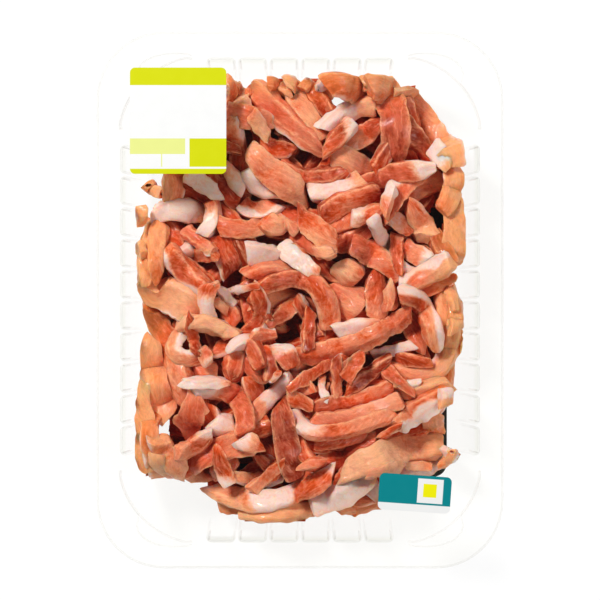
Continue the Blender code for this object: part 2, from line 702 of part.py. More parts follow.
def drop_scraps(obj):
    """Keep the heap's outer skin, the shell with the most faces. Sealed hollows go with the rest."""
    bm = bmesh.new()
    bm.from_mesh(obj.data)
    bmesh.ops.remove_doubles(bm, verts=bm.verts, dist=MERGE)
    bmesh.ops.dissolve_degenerate(bm, edges=bm.edges, dist=MERGE)
    seen = set()
    shells = []
    for face in bm.faces:
        if face in seen:
            continue
        stack = [face]
        shell = []
        seen.add(face)
        while stack:
            current = stack.pop()
            shell.append(current)
            for edge in current.edges:
                for other in edge.link_faces:
                    if other not in seen:
                        seen.add(other)
                        stack.append(other)
        shells.append(shell)
    shells.sort(key=len, reverse=True)
    loose = [face for shell in shells[1:] for face in shell]
    bmesh.ops.delete(bm, geom=loose, context="FACES")
    bmesh.ops.triangulate(bm, faces=bm.faces)
    bm.to_mesh(obj.data)
    bm.free()


def build_heap():
    pile = Pile()
    lay_fill(pile)
    meat = make_material("pork", (0.58, 0.20, 0.11), 0.35)
    heap = add_object("pork_strips", core_solid(pile), meat)
    pieces = bpy.data.collections.new("strips")
    bpy.context.scene.collection.children.link(pieces)
    for index, (start, middle, end, width) in enumerate(STRIPS):
        draw = random.Random(HEAP_SEED + 1000 + index)
        thickness = STRIP_THICKNESS * draw.uniform(*STRIP_UNEVEN)
        roll = math.radians(draw.uniform(-STRIP_ROLL, STRIP_ROLL))
        lift = draw.uniform(*STRIP_LIFT) + width / 2 * abs(math.sin(roll))
        path = bend_path(start, middle, end) * SIGHT_SPREAD
        line = pile.lay(path, width, thickness, lift)
        strip = add_object("strip", strip_solid(line, width, thickness, roll), meat)
        bpy.context.scene.collection.objects.unlink(strip)
        pieces.objects.link(strip)

    join = heap.modifiers.new("join", "BOOLEAN")
    join.operation = "UNION"
    join.operand_type = "COLLECTION"
    join.collection = pieces
    join.solver = "EXACT"
    bpy.context.view_layer.objects.active = heap
    bpy.context.view_layer.update()
    evaluated = heap.evaluated_get(bpy.context.evaluated_depsgraph_get())
    joined = bpy.data.meshes.new_from_object(evaluated)
    heap.modifiers.clear()
    heap.data = joined
    for strip in list(pieces.objects):
        bpy.data.objects.remove(strip)
    bpy.data.collections.remove(pieces)
    drop_scraps(heap)
    return heap


def main():
    clear_scene()
    build_tray()
    build_pad()
    build_heap()
    build_film()
    build_label()
    build_sticker()


main()
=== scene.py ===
"""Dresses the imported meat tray: a clear ribbed tray under film, with an absorbent pad,
a loose heap of raw pork strips, a label and a sticker, seen from straight above.

Settings and pieces are in metres. The heap is worked out in millimetres, and each group of
measures at the head of the file says which it uses.
"""
import functools
import math
import random

import bmesh
import bpy
import numpy as np
from bpy.props import FloatProperty, FloatVectorProperty, PointerProperty
from bpy.types import Operator, Panel, PropertyGroup
from mathutils import Matrix, Vector


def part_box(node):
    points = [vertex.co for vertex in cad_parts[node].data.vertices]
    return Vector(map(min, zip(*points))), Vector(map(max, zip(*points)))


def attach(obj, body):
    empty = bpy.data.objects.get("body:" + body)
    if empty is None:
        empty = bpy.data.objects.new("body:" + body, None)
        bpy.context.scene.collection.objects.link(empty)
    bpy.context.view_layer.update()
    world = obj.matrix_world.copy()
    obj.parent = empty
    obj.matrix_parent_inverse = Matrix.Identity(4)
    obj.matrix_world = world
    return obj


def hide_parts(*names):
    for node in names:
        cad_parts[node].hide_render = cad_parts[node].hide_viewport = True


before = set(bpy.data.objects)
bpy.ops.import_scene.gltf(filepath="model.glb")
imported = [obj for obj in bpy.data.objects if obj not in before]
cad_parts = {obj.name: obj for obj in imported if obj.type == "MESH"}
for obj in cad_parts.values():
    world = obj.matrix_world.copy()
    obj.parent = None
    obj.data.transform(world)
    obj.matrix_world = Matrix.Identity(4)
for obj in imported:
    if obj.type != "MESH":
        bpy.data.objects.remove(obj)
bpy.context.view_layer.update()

bl_info = {
    "name": "Meat tray pack",
    "version": (1, 0, 0),
    "blender": (4, 5, 0),
    "location": "3D View > Sidebar > Pack",
    "description": "Builds a sealed tray of pork strips",
    "category": "Object",
}

MM = 0.001

# Stage, in metres. Each light: name, place, size, and its share of the key light's power
FLOOR_HALF = 3.0
FLOOR_DROP = 0.0002
SENSOR_WIDTH = 36.0
LIGHTS = (
    ("key", (-0.50, 0.60, 0.95), 0.24, 1.0),
    ("fill", (0.75, -0.20, 0.90), 0.50, 0.30))

# The tray's wall, in metres: the edge under the flange, and the foot of the pockets
WALL_TOP = 38.4 * MM
POCKET_FOOT = 5.5 * MM

# Tray, in millimetres unless it says otherwise
SHORT_SIDE_RIBS = 7
SHORT_SIDE_PITCH = 11.2
LONG_SIDE_RIBS = 11
LONG_SIDE_PITCH = 11.1
CORNER_STEPS = 24
# The flange's turned edge: shares of a quarter turn
RIM_TURNS = (0.0, 0.35, 0.7, 1.0)
# The crescent ledge starts and ends at these angles, in degrees from the long side
LEDGE_START = 42
LEDGE_SWEEP = 46
CORNER_BLEND = 12
LEDGE_DROP = 0.5
LEDGE_FOOT = 0.6
LEDGE_SHARE = 0.91
# Rings of the round foot: height, and how far the wall has turned in
FOOT_RINGS = ((3.6, 0.25), (2.2, 0.65), (1.2, 1.1), (0.6, 1.8), (0.3, 2.9))
# A pocket between two ribs, and the steps in which it is pressed out: width of the step,
# share of the depth, and whether its upper part is a bend
POCKET_MARGIN = 0.7
POCKET_RADIUS = 2.2
POCKET_CUT = 1.1
POCKET_STEPS = (
    (0.2, 0.35, False), (0.25, 0.37, False), (0.5, 0.2, True), (0.9, 0.08, False))
POCKET_LIMITS = (33.6, 55.5)
POCKET_AREA = 8 * 33
BEND_BELOW_MIDDLE = 1.5

TRAY_LOW, TRAY_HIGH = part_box("tray")
FILM_LOW, FILM_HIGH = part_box("lidding_film")
PAD_LOW, PAD_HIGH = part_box("absorbent_pad")
LABEL_LOW, LABEL_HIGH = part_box("label")
STICKER_LOW, STICKER_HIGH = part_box("sticker")

# Prints, in millimetres: where the label's and the sticker's fields begin and end
LABEL_X = (-49.0, -48.6, -40.5, -39.0)
LABEL_Y = (75.8, 75.5, 57.0, 51.5, 47.0, 46.3)
STICKER_WIDTH = 25.5
STICKER_LENGTH = 12.9
STICKER_X = (0.9, 2.9, 7.6, 9.9)
STICKER_Y = (-3.85, -3.2, -1.1, 3.6, 5.4)

# Heap, in millimetres and degrees: the same values, table and rules as the solids follow
HEAP_SEED = 41
HEAP_HALF_X = 52
HEAP_HALF_Y = 72
HEAP_TOP = 36.5
STRIP_THICKNESS = 4.6
STRIP_UNEVEN = (0.9, 1.15)
STRIP_SINK = 0.9
STRIP_LIFT = (0.2, 0.6)
STRIP_ROLL = 14
WALL_CLEARANCE = 0.6
WALL_REST = 22.0
FOOT_ROUND = 6.0
FOOT_SLOPE = 0.7
BED_HALF_X = 55
BED_HALF_Y = 75
BED_HEIGHT = 10
MAP_HALF_X = 62
MAP_HALF_Y = 84
PATH_STEP = 0.8
OPENING_WIDTH = 128.6
OPENING_LENGTH = 172.8
OPENING_RADIUS = 30.0
CORNER_X = OPENING_WIDTH / 2 - OPENING_RADIUS
CORNER_Y = OPENING_LENGTH / 2 - OPENING_RADIUS
SIDE_INSET = 2.1
TRAY_HEIGHT = 40.0
WALL = 0.6
DRAFT = math.radians(8)
PAD_WIDTH = 78.0
PAD_LENGTH = 120.0
PAD_CENTRE = (15.0, -5.0)
PAD_BOTTOM = 0.9
PAD_TOP = 2.7
GAP = 0.3

# What lies under the rim looks nearer to the middle from above than it is
SIGHT_SPREAD = 1.015
FLOOR_SPREAD = 1.03

# Strips that fill the heap under those that show
FILL_STRIPS = 80
FILL_TRIES = 40
FILL_REACH_X = 50
FILL_REACH_Y = 70
FILL_HALF_LENGTH = (9, 20)
FILL_BOW = 5
FILL_WIDTH = (5.5, 8)

# Short strips down in the gaps between those that show
SCRAPS = 20
SCRAP_TRIES = 24
SCRAP_SHARE = 0.5
SCRAP_THICKNESS = 2.2
SCRAP_LIFT = 0.6
SCRAP_WIDTH_SHARE = 1.4
GAP_MARGIN = 2
SCRAP_OUTLINE = 1.1
SCRAP_LOOKS = ("lean", "dark", "lean", "pink", "dark", "fat", "start")

# The small pieces from the table further down
SMALL_THICKNESS = 3.4
SMALL_UNEVEN = (0.85, 1.1)
SMALL_ROLL = 12
SMALL_LIFT = 0.2

# The body of the heap: its half sizes, which are also its numbers of cells, how far it stays
# under the strips, and its looks
CORE_HALF_X = 56
CORE_HALF_Y = 80
CORE_UNDER_STRIPS = 4.0
CORE_LEAST = 1.5
CORE_COVER = 3.5
CORE_OUTLINE = 1.04
# The body's dark tone is partly painted shade: it is seen only down in the gaps
CORE_TONE = 0.3
CORE_BLUSH = 0.1
# How strongly the painted shade deep in the heap darkens the body
CORE_DEPTH = 0.6

# Painted light beside the wall, where light comes through the clear tray, and how far down in the
# heap the painted shade is darkest
LIT_HALF_X = 56.0
LIT_HALF_Y = 82.0
LIT_REACH = 12.0
DARK_DEPTH = 11.0
SMOOTHING = 17

# Strips under the others have larger mesh cells
UNDER_CELLS = 1.3

# Where each kind of strip starts counting the seeds of its draws
LAY_SEED = 1000
SHOWN_SEED = 3000
SMALL_SEED = 7000
SCRAP_SEED = 8000
FILL_SEED = 9000

# Gaps that go deep into the heap: centre and radius
WELLS = (
    (-25, 7, 5), (-36, -14, 5), (-6, -8, 8), (-13, 21, 4), (-6, 19, 4), (3, 10, 5),
    (-4, -25, 4), (27, -25, 5), (41, -47, 5), (-17, -58, 4), (-39, 24, 5), (-38, 13, 4),
    (25, 52, 4), (-22, 57, 3), (-18, 37, 4), (36, 19, 5), (-22, -36, 5), (0, -47, 4),
    (47, -4, 4), (-44, -40, 4), (-5, 34, 3), (-23, -62, 4), (12, -36, 4), (-28, -37, 4),
    (48.5, 30, 4),
)

# Places where the floor shows through the whole heap, as seen from above: centre and radius
FLOOR_GAPS = (
    (-45.5, 21, 3), (-30, 32, 3), (-40, -27, 3), (-40.5, -57.5, 3), (-17.3, 55.5, 2.6),
    (-18.7, -60, 2.6), (48.5, 30, 3.6),
)

# The strips that show: start, middle and end, width, and how each looks.
# The lowest come first, and each later strip lies on those before it.
STRIPS = (
    # Along the left wall
    ((-52, 28), (-54, 16), (-55, 5), 6.5, "pale"),
    ((-49, 28), (-51, 18), (-50, 8), 6.5, "lean"),
    ((-45, 46), (-45, 40), (-45.5, 33), 7.5, "lean"),
    ((-53, -3), (-50, -9), (-45, -17), 7.5, "dark"),
    ((-45, -18), (-43, -27), (-41, -38), 8, "lean"),
    ((-56, -29), (-57.5, -38), (-56, -49), 5.5, "pale"),
    ((-53.5, -46), (-55.5, -54), (-57.5, -62), 7, "pale"),
    ((-53, -38), (-53, -50), (-50.5, -63), 6.5, "lean"),
    ((-50, -54), (-49, -58), (-46, -63), 6.5, "pale"),
    # Along the foot
    ((-43, -60), (-39, -62), (-35, -65), 7.5, "pale"),
    ((-31, -62), (-27, -60), (-22, -57), 7.5, "lean"),
    ((-29, -73), (-25, -74), (-20, -73), 6, "pale"),
    ((-20, -75), (-8, -76), (6, -74), 6, "pale"),
    ((13, -75), (22, -74), (33, -72), 5, "pale"),
    ((20, -71), (29, -69), (40, -66), 6.5, "lean"),
    ((34, -63), (45, -60), (55, -54.5), 6.5, "fat"),
    # Along the right wall
    ((33, -25), (49, -25), (54, -8), 7, "pale"),
    ((54, -12), (55, -4), (53, 6), 5, "pale"),
    ((41, 3), (48, 5), (55, 8), 5.5, "lean"),
    ((53.5, 37), (54.5, 25), (53, 12), 7.5, "pale"),
    ((48, 23), (50, 19), (53, 14), 6, "dark"),
    ((53, 48), (54, 40), (50, 31), 7, "lean"),
    ((36, 75), (46.5, 64), (57, 47), 8.5, "pale"),
    # Along the head
    ((22, 79), (26, 76), (31, 72), 5.5, "lean"),
    ((36, 72), (39, 66), (41, 60), 7.5, "dark"),
    ((-26, 78), (-22, 73), (-18, 66), 6, "pale"),
    ((-11, 78), (-6, 73), (-1, 67), 6, "lean"),
    ((9, 82), (8, 77), (7, 72), 6.5, "start"),
    ((16, 82), (13, 78), (9, 72), 6.5, "lean"),
    ((-42, 73), (-37, 64), (-33, 54), 7.5, "lean"),
    ((-52, 61), (-45, 57), (-36, 50), 7.5, "pale"),
    # Lower strips that show in the middle
    ((29, 64), (23, 59), (16, 55), 8, "lean"),
    ((36, 63), (41, 58), (47, 52), 8.5, "dark"),
    ((35, 25), (41, 19), (47, 14), 5.5, "dark"),
    ((-28, 23), (-25, 16), (-25, 9), 9, "dark"),
    ((-21, 21), (-17, 15), (-14, 10), 7, "dark"),
    ((2, 18), (8, 12), (15, 8), 7, "dark"),
    ((9, 4), (15, 1), (22, -3), 10, "pink"),
    ((18, -27), (24, -28), (32, -28), 7.5, "dark"),
    ((-19, -21), (-15, -25), (-11, -29), 7, "pink"),
    ((-19, -27), (-17, -31), (-15, -36), 6, "lean"),
    ((-12, -14), (-9, -20), (-4, -26), 4.5, "dark"),
    ((-14, -42), (-12, -49), (-10, -56), 9, "dark"),
    ((2, -52), (9, -51), (20, -48), 5.5, "dark"),
    ((5, -50), (18, -48), (31, -43), 5.5, "lean"),
    ((-22, -47), (-16, -46), (-10, -44), 7, "lean"),
    ((-36, 54), (-30, 44), (-22, 35), 7, "dark"),
    # Middle strips
    ((-25, 65), (-18, 64.5), (-10, 61), 8, "pink"),
    ((-25, 63), (-22, 52), (-20, 41), 7, "lean"),
    ((-40, 46), (-35, 42), (-28, 38), 6.5, "fat"),
    ((-27, 47), (-24, 43), (-20, 38), 5, "fat"),
    ((-5, 81), (0, 70), (9, 57), 7, "pale"),
    ((2, 78), (6, 72), (11, 65), 6, "lean"),
    ((9, 79), (17, 76.5), (25, 70), 8.5, "lean"),
    ((-14, 57), (-9, 54), (-2, 53), 6.5, "lean"),
    ((11, 53), (18, 49), (25, 46), 9, "pink"),
    ((50.5, 43), (42, 39), (33, 31.5), 8, "pale"),
    ((47, 55), (50, 50), (52, 46), 7.5, "fat"),
    ((-21, 34), (-15, 32), (-8, 34), 6.5, "right"),
    ((29, 33), (20, 30), (7, 25), 7, "lean"),
    ((8, 21), (16, 20.5), (26, 26), 7, "lean"),
    ((-4, 22), (0, 21), (6, 18), 5.5, "pink"),
    ((30, 29), (34, 28), (39, 24), 5, "fat"),
    ((37, 19), (41, 16), (45, 14), 6, "end"),
    ((14, 13), (18, 10), (22, 8), 9.5, "pale"),
    ((26, 11), (27, 1), (27, -8), 7.5, "lean"),
    ((51, 3), (51, -3), (49, -12), 6, "pale"),
    ((38, -5), (41, -13), (43, -19), 7, "lean"),
    ((27, -18.5), (37, -21), (47, -22.5), 5.5, "lean"),
    ((33, -34), (43, -31.5), (54.5, -30), 6, "pale"),
    ((46, -38), (47, -42), (49, -47), 6, "pink"),
    ((28, -50), (34, -47), (47, -46), 5.5, "dark"),
    ((4, -58), (14, -56), (27, -50), 6, "lean"),
    ((-2, -45), (0, -52), (4, -58), 6.5, "dark"),
    ((-41, 20), (-36, 19), (-30, 18), 8.5, "start"),
    ((-41, 13), (-37, 9), (-31, 5), 6, "dark"),
    ((-29, 27), (-20, 25), (-12, 27), 7, "pink"),
    ((-28, -3), (-25, -5), (-23, -9), 6.5, "pink"),
    ((-37, -26), (-34, -25), (-30, -26), 7, "pink"),
    ((-31, -43), (-28, -44), (-23, -45), 7.5, "fat"),
    ((-14, -17), (-11, -21), (-10, -27), 6, "dark"),
    ((-3, -23), (2, -23), (8, -25), 5.5, "right"),
    ((-41, -58), (-31, -53.5), (-17, -50), 9.5, "pink"),
    ((-50, -49), (-46, -55), (-41, -63), 8, "pale"),
    ((-24, -62), (-15, -64), (-6, -62), 5, "right"),
    # Upper strips
    ((-17, 76), (-5, 64), (8, 53), 8, "pink"),
    ((27, 69), (18, 67), (9, 60), 7.5, "fat"),
    ((19, 63), (13, 57), (8, 51), 6, "start"),
    ((24, 81), (33, 67), (32, 47), 9, "lean"),
    ((-7, 48), (3, 43.5), (16, 46), 6, "lean"),
    ((42, 44), (35, 38), (29.5, 28), 6.5, "right"),
    ((21, 40), (33, 44.5), (48, 46.5), 7, "end"),
    ((-19, 46), (-14, 41), (-8, 38), 7.5, "fat"),
    ((-18, 54), (-12, 47), (2, 37), 9, "pale"),
    ((3, 38), (11, 39.5), (23, 42), 8, "fat"),
    ((28, 38), (18, 35), (7, 29), 8, "lean"),
    ((18, 29), (23, 29.5), (29, 33), 6, "start"),
    ((33, 41), (31, 36), (29, 30), 4, "fat"),
    ((-1, 32), (5, 25), (13, 19), 7, "lean"),
    ((-13, 28), (-10, 27), (-5, 27), 7.5, "fat"),
    ((38, 34), (42, 28), (46, 21.5), 8.5, "pale"),
    ((25, 29), (28, 24), (33, 17), 5.5, "fat"),
    ((-19, 17), (-11, 15), (-3, 14), 8, "fat"),
    ((18, 20), (27, 15), (38, 8), 7.5, "end"),
    ((35, 4), (44, 9), (53, 14), 8, "left"),
    ((-53, 30), (-42, 32), (-33, 28), 8, "fat"),
    ((-32, 35), (-31, 29), (-35, 23), 5.5, "fat"),
    ((-47, 17), (-41, 10), (-33, 3), 8, "right"),
    ((-54, 4), (-45, 1), (-34, -5), 12, "pale"),
    ((-31, 6), (-33, 0), (-32, -9), 5.5, "fat"),
    ((-15, 0), (-9, 0.5), (-2, 1), 8, "pale"),
    ((-18, 8), (-6, 10), (8, 3), 6, "pink"),
    ((-15, 4), (4, 6), (11, -10), 7.5, "lean"),
    ((35, 2), (44, -3), (48, -18), 7.5, "left"),
    ((12, -11), (20, -9.5), (28, -9), 6.5, "fat"),
    ((39, -4), (20, -15), (-4, -20), 7.5, "lean"),
    ((-17, 4), (-15, -9), (-31, -18), 6.5, "left"),
    ((-42, -10), (-34, -8), (-23, -13), 5.5, "pale"),
    ((-42, -11), (-44, -19), (-32, -20), 6, "left"),
    ((-22, -18), (-23, -23), (-25, -28), 8, "start"),
    ((-24, -18), (-18, -16), (-14, -24), 5.5, "start"),
    ((-9, -16), (-6, -19), (-3, -24), 7, "start"),
    ((16, -20), (13, -27), (10, -34), 7.5, "right"),
    ((7, -31), (4, -36), (1, -42), 7.5, "lean"),
    ((-3, -28), (0, -30), (4, -33), 6.5, "start"),
    ((-18, -42), (-10, -34), (-3, -28), 6.5, "fat"),
    ((5, -39), (20, -36), (33, -30.5), 7.5, "lean"),
    ((4, -42), (18, -41), (36, -35), 5.5, "pink"),
    ((-3, -39), (8, -46.5), (34, -40), 6.5, "start"),
    ((34, -45), (41, -39), (52, -33), 7.5, "right"),
    ((-53, -13), (-52, -27), (-47, -42), 7.5, "pale"),
    ((-35, -34), (-38, -40), (-42, -46), 8.5, "pink"),
    ((-39, -31), (-23, -34), (-20, -47), 7.5, "start"),
    ((-43, -54), (-38, -52), (-31, -47), 6.5, "end"),
    ((-15, -55), (-12, -58), (-7, -61), 6, "lean"),
    ((-21, -49), (-18, -50), (-14, -51), 6.5, "fat"),
    ((-33, -67), (-10, -71), (12, -61), 7.5, "mixed"),
    ((-7, -37), (-5, -50), (-2, -63), 7, "dark"),
    ((14, -64), (20, -59.5), (30, -54), 5, "lean"),
    ((23, -63), (25, -66), (29, -70), 6.5, "fat"),
    ((4, -73), (15, -68), (27, -58), 9, "fat"),
    ((15, -61), (33, -54.5), (51, -52.5), 9.5, "pale"),
)

# Small pieces that lie on and between the strips
SMALL_STRIPS = (
    ((-26, 78), (-24, 74), (-25, 70), 4, "lean"),
    ((-55, 41), (-52, 39), (-49, 38), 4.5, "pale"),
    ((-17, 66), (-14, 61), (-11, 57), 5, "pale"),
    ((-5, 28), (-3, 26), (-1, 24), 4, "pale"),
    ((-3, 20), (0, 17), (3, 15), 4, "lean"),
    ((5, 17), (8, 16.5), (12, 17), 5, "pale"),
    ((31, 6), (32, 1), (31, -4), 4.5, "pale"),
    ((52, 4), (54, 0), (55, -4), 4, "pale"),
    ((8, -27), (8, -32), (10, -36), 2.5, "fat"),
    ((-10, -29), (-8.5, -27), (-7.5, -25), 2.5, "fat"),
    ((33, -30), (38, -30), (43, -28.5), 2.5, "fat"),
    ((51, -31), (52, -34), (51, -38), 5, "fat"),
    ((-56, 33), (-57, 30), (-56, 27), 4, "pale"),
    ((-57, 20), (-56, 18), (-55, 16), 3.5, "pale"),
    ((-30, 6), (-27, 2), (-23, -2), 3, "fat"),
    ((-25, 3), (-20, 4), (-14, 5), 3, "fat"),
    ((-30, 0), (-28, -2), (-26, -4), 4, "pale"),
    ((-35, -17), (-33.5, -20), (-32, -23), 5, "fat"),
    ((-42, -29.5), (-34, -30.5), (-26, -29), 2.5, "fat"),
    ((-12, -5), (-9, -6), (-6, -7), 6, "dark"),
    ((-8, -9), (-6, -10.5), (-4, -11), 4, "pale"),
    ((-1, -59), (3, -58), (9, -56.5), 4, "lean"),
    ((28, -49), (32, -46), (36, -44), 3, "lean"),
    ((37, -59), (42, -59.5), (47, -60), 4, "pale"),
    ((24, -61), (30, -60), (36, -60), 5, "pale"),
    ((50, -59), (53, -57), (54, -54), 3, "pale"),
)


def length_prop(name, description, default):
    """A setting in metres."""
    return FloatProperty(
        name=name, description=description, default=default, min=0.0, unit="LENGTH",
        precision=5)


def colour_prop(name, description, default):
    """A setting that is a colour."""
    return FloatVectorProperty(
        name=name, description=description, default=default, size=3, min=0.0, max=1.0,
        subtype="COLOR")


def share_prop(name, description, default):
    """A setting from 0 to 1."""
    return FloatProperty(
        name=name, description=description, default=default, min=0.0, max=1.0,
        subtype="FACTOR")


class TraySettings(PropertyGroup):
    rim_width: length_prop("Rim width", "Outer width of the flange", TRAY_HIGH[0] - TRAY_LOW[0])
    rim_length: length_prop("Rim length", "Outer length of the flange", TRAY_HIGH[1] - TRAY_LOW[1])
    height: length_prop("Height", "From the underside to the flange", TRAY_HEIGHT * MM)
    rim_radius: length_prop("Rim radius", "Corner radius of the flange", 24 * MM)
    rim_bend: length_prop("Rim bend", "Radius where the flange turns down", 1.2 * MM)
    rim_skirt: length_prop("Rim skirt", "How far the edge is turned down", 2.5 * MM)
    wall: length_prop("Wall", "Thickness of the sheet", WALL * MM)
    pocket_depth: length_prop("Pocket depth", "How far the pockets are pressed out", 2.0 * MM)
    ledge: length_prop("Corner ledge", "Width of the crescent ledge at each corner", 4.8 * MM)
    tint: colour_prop("Plastic tint", "What the clear sheet lets through", (0.998, 0.997, 0.988))
    body: colour_prop("Plastic body", "Colour of the sheet seen edge on", (0.66, 0.65, 0.56))


class FilmSettings(PropertyGroup):
    margin: length_prop("Film margin", "How far the film stops inside the rim", 0.4 * MM)
    tint: colour_prop("Film tint", "What the film lets through", (0.998, 0.998, 0.997))


class PadSettings(PropertyGroup):
    radius: length_prop("Pad corner", "Corner radius of the pad", 5 * MM)
    dot_pitch: length_prop("Dot pitch", "Distance between the embossed dots", 3.7 * MM)
    emboss: length_prop("Emboss", "Depth of the embossed dots", 0.5 * MM)
    colour: colour_prop("Pad colour", "Colour of the fleece", (0.012, 0.020, 0.012))


class MeatSettings(PropertyGroup):
    cell: length_prop("Mesh cell", "Size of a strip's mesh faces", 0.8 * MM)
    # The dark lean is partly the meat's own darker lean and partly painted shade, for strips that lie
    # in shade between others
    dark: colour_prop("Dark lean", "The deepest lean meat", (0.34, 0.028, 0.005))
    lean: colour_prop("Lean", "Ordinary lean meat", (0.77, 0.095, 0.016))
    pale: colour_prop("Pale lean", "The palest lean meat", (0.98, 0.48, 0.26))
    # Painted glow: lean beside the tray's wall is mixed towards this colour, standing in for light
    # coming through the clear tray
    painted_glow: colour_prop("Amber", "Lean beside the wall with light behind it", (0.98, 0.37, 0.10))
    pink: colour_prop("Pink lean", "The pinkest lean meat", (0.78, 0.21, 0.12))
    fat: colour_prop("Fat", "Fat and membrane", (0.96, 0.70, 0.61))
    fat_pink: colour_prop("Pink fat", "Fat where the lean shows through", (0.95, 0.43, 0.25))
    # Painted shade: the meat's colour is multiplied towards this tint the deeper it lies in the heap,
    # where less light reaches
    painted_shade_tint: colour_prop("Juice", "Tint of the wet meat deep in the heap", (0.76, 0.22, 0.07))
    marbling: share_prop("Marbling", "How much fine fat runs through the lean", 0.5)
    wetness: share_prop("Wetness", "Strength of the moist sheen", 0.45)


class PrintSettings(PropertyGroup):
    lime: colour_prop("Lime", "Bands of the label", (0.66, 0.69, 0.0))
    pale_lime: colour_prop("Pale lime", "Boxes of the label", (0.80, 0.84, 0.27))
    paper: colour_prop("Paper", "Plain fields of the label and sticker", (0.90, 0.90, 0.89))
    teal: colour_prop("Teal", "Field of the sticker", (0.0, 0.235, 0.262))
    sun: colour_prop("Yellow", "Square on the sticker", (0.90, 0.86, 0.0))
    radius: length_prop("Corner radius", "Corners of the label and sticker", 1.8 * MM)
    turn: FloatProperty(
        name="Sticker turn", description="How the sticker is turned on the film",
        default=math.radians(-4), subtype="ANGLE")


class StageSettings(PropertyGroup):
    floor_colour: colour_prop("Floor", "Colour of the floor", (0.13, 0.13, 0.13))
    floor_glow: FloatProperty(
        name="Floor glow", description="Light that the lit white floor gives", default=0.92,
        min=0.0)
    camera_height: length_prop("Camera height", "Height of the camera over the rim", 0.9)
    lens: FloatProperty(
        name="Lens", description="Focal length of the camera", default=152.9,
        unit="CAMERA")
    key_power: FloatProperty(
        name="Key light", description="Power of the large light", default=13.6, min=0.0,
        unit="POWER")
    sky: FloatProperty(
        name="Surround", description="Brightness of the white surround", default=0.11, min=0.0)


# Materials

def new_material(name):
    """A material with an empty node tree."""
    material = bpy.data.materials.new(name)
    material.use_nodes = True
    tree = material.node_tree
    tree.nodes.clear()
    return material, tree


def add_node(tree, kind, inputs=None, **settings):
    """Add a node. Its inputs are values, or sockets to join to."""
    node = tree.nodes.new(kind)
    for key, value in settings.items():
        setattr(node, key, value)
    for key, value in (inputs or {}).items():
        if isinstance(value, bpy.types.NodeSocket):
            tree.links.new(value, node.inputs[key])
        else:
            node.inputs[key].default_value = value
    return node


def math_node(tree, operation, first, second=0.0, clamp=False):
    """One sum on two numbers."""
    node = add_node(
        tree, "ShaderNodeMath", {0: first, 1: second}, operation=operation, use_clamp=clamp)
    return node.outputs[0]


def times(tree, first, second):
    """The product of two values."""
    return math_node(tree, "MULTIPLY", first, second)


def plus(tree, first, second, clamp=False):
    """The sum of two values."""
    return math_node(tree, "ADD", first, second, clamp)


def weighted(tree, first, first_share, second, second_share):
    """The sum of two values, each times its share."""
    return plus(tree, times(tree, first, first_share), times(tree, second, second_share))


def grey(tree, level):
    """The same number as a colour without hue."""
    return add_node(
        tree, "ShaderNodeCombineColor", {"Red": level, "Green": level, "Blue": level}).outputs[0]


def surface(tree, shader):
    """Join a shader to the material's output."""
    add_node(tree, "ShaderNodeOutputMaterial", {"Surface": shader.outputs[0]})


def bump_node(tree, height, strength, distance):
    """Fine relief. Returns the bent normal."""
    return add_node(tree, "ShaderNodeBump", {
        "Height": height, "Strength": strength, "Distance": distance}).outputs["Normal"]


def remap(tree, value, low, high, to_low=0.0, to_high=1.0, smooth=True):
    """Carry one range of a value over to another, clamped at both ends."""
    node = add_node(
        tree, "ShaderNodeMapRange",
        {"Value": value, "From Min": low, "From Max": high, "To Min": to_low, "To Max": to_high},
        interpolation_type="SMOOTHSTEP" if smooth else "LINEAR")
    return node.outputs["Result"]


def mix_colour(tree, factor, first, second, blend="MIX"):
    """Mix two colours, each a socket or three numbers."""
    first, second = (
        colour if isinstance(colour, bpy.types.NodeSocket) else (*colour, 1.0)
        for colour in (first, second))
    node = add_node(tree, "ShaderNodeMix", data_type="RGBA", blend_type=blend)
    for index, value in ((0, factor), (6, first), (7, second)):
        if isinstance(value, bpy.types.NodeSocket):
            tree.links.new(value, node.inputs[index])
        else:
            node.inputs[index].default_value = value
    return node.outputs[2]


def noise(tree, vector, scale, detail=2.0, roughness=0.5):
    """Soft random values of 0 to 1."""
    node = add_node(
        tree, "ShaderNodeTexNoise",
        {"Vector": vector, "Scale": scale, "Detail": detail, "Roughness": roughness})
    return node.outputs["Fac"]


def clear_plastic(name, tint, body, roughness, least, most, power):
    """A clear sheet: lets light straight through, and shows more body where it is steeper."""
    material, tree = new_material(name)
    place = add_node(tree, "ShaderNodeTexCoord").outputs["Object"]
    waved = bump_node(tree, noise(tree, place, 60.0, 3.0), 0.25, 0.4 * MM)
    edge = add_node(tree, "ShaderNodeLayerWeight", {"Blend": 0.5, "Normal": waved})
    facing = math_node(tree, "POWER", edge.outputs["Facing"], power)
    share = remap(tree, facing, 0.0, 1.0, least, most, smooth=False)
    sheet = add_node(tree, "ShaderNodeBsdfTransparent", {"Color": (*tint, 1.0)})
    shine = add_node(tree, "ShaderNodeBsdfPrincipled", {
        "Base Color": (*body, 1.0), "Roughness": roughness, "Normal": waved})
    mixed = add_node(
        tree, "ShaderNodeMixShader", {0: share, 1: sheet.outputs[0], 2: shine.outputs[0]})
    surface(tree, mixed)
    return material


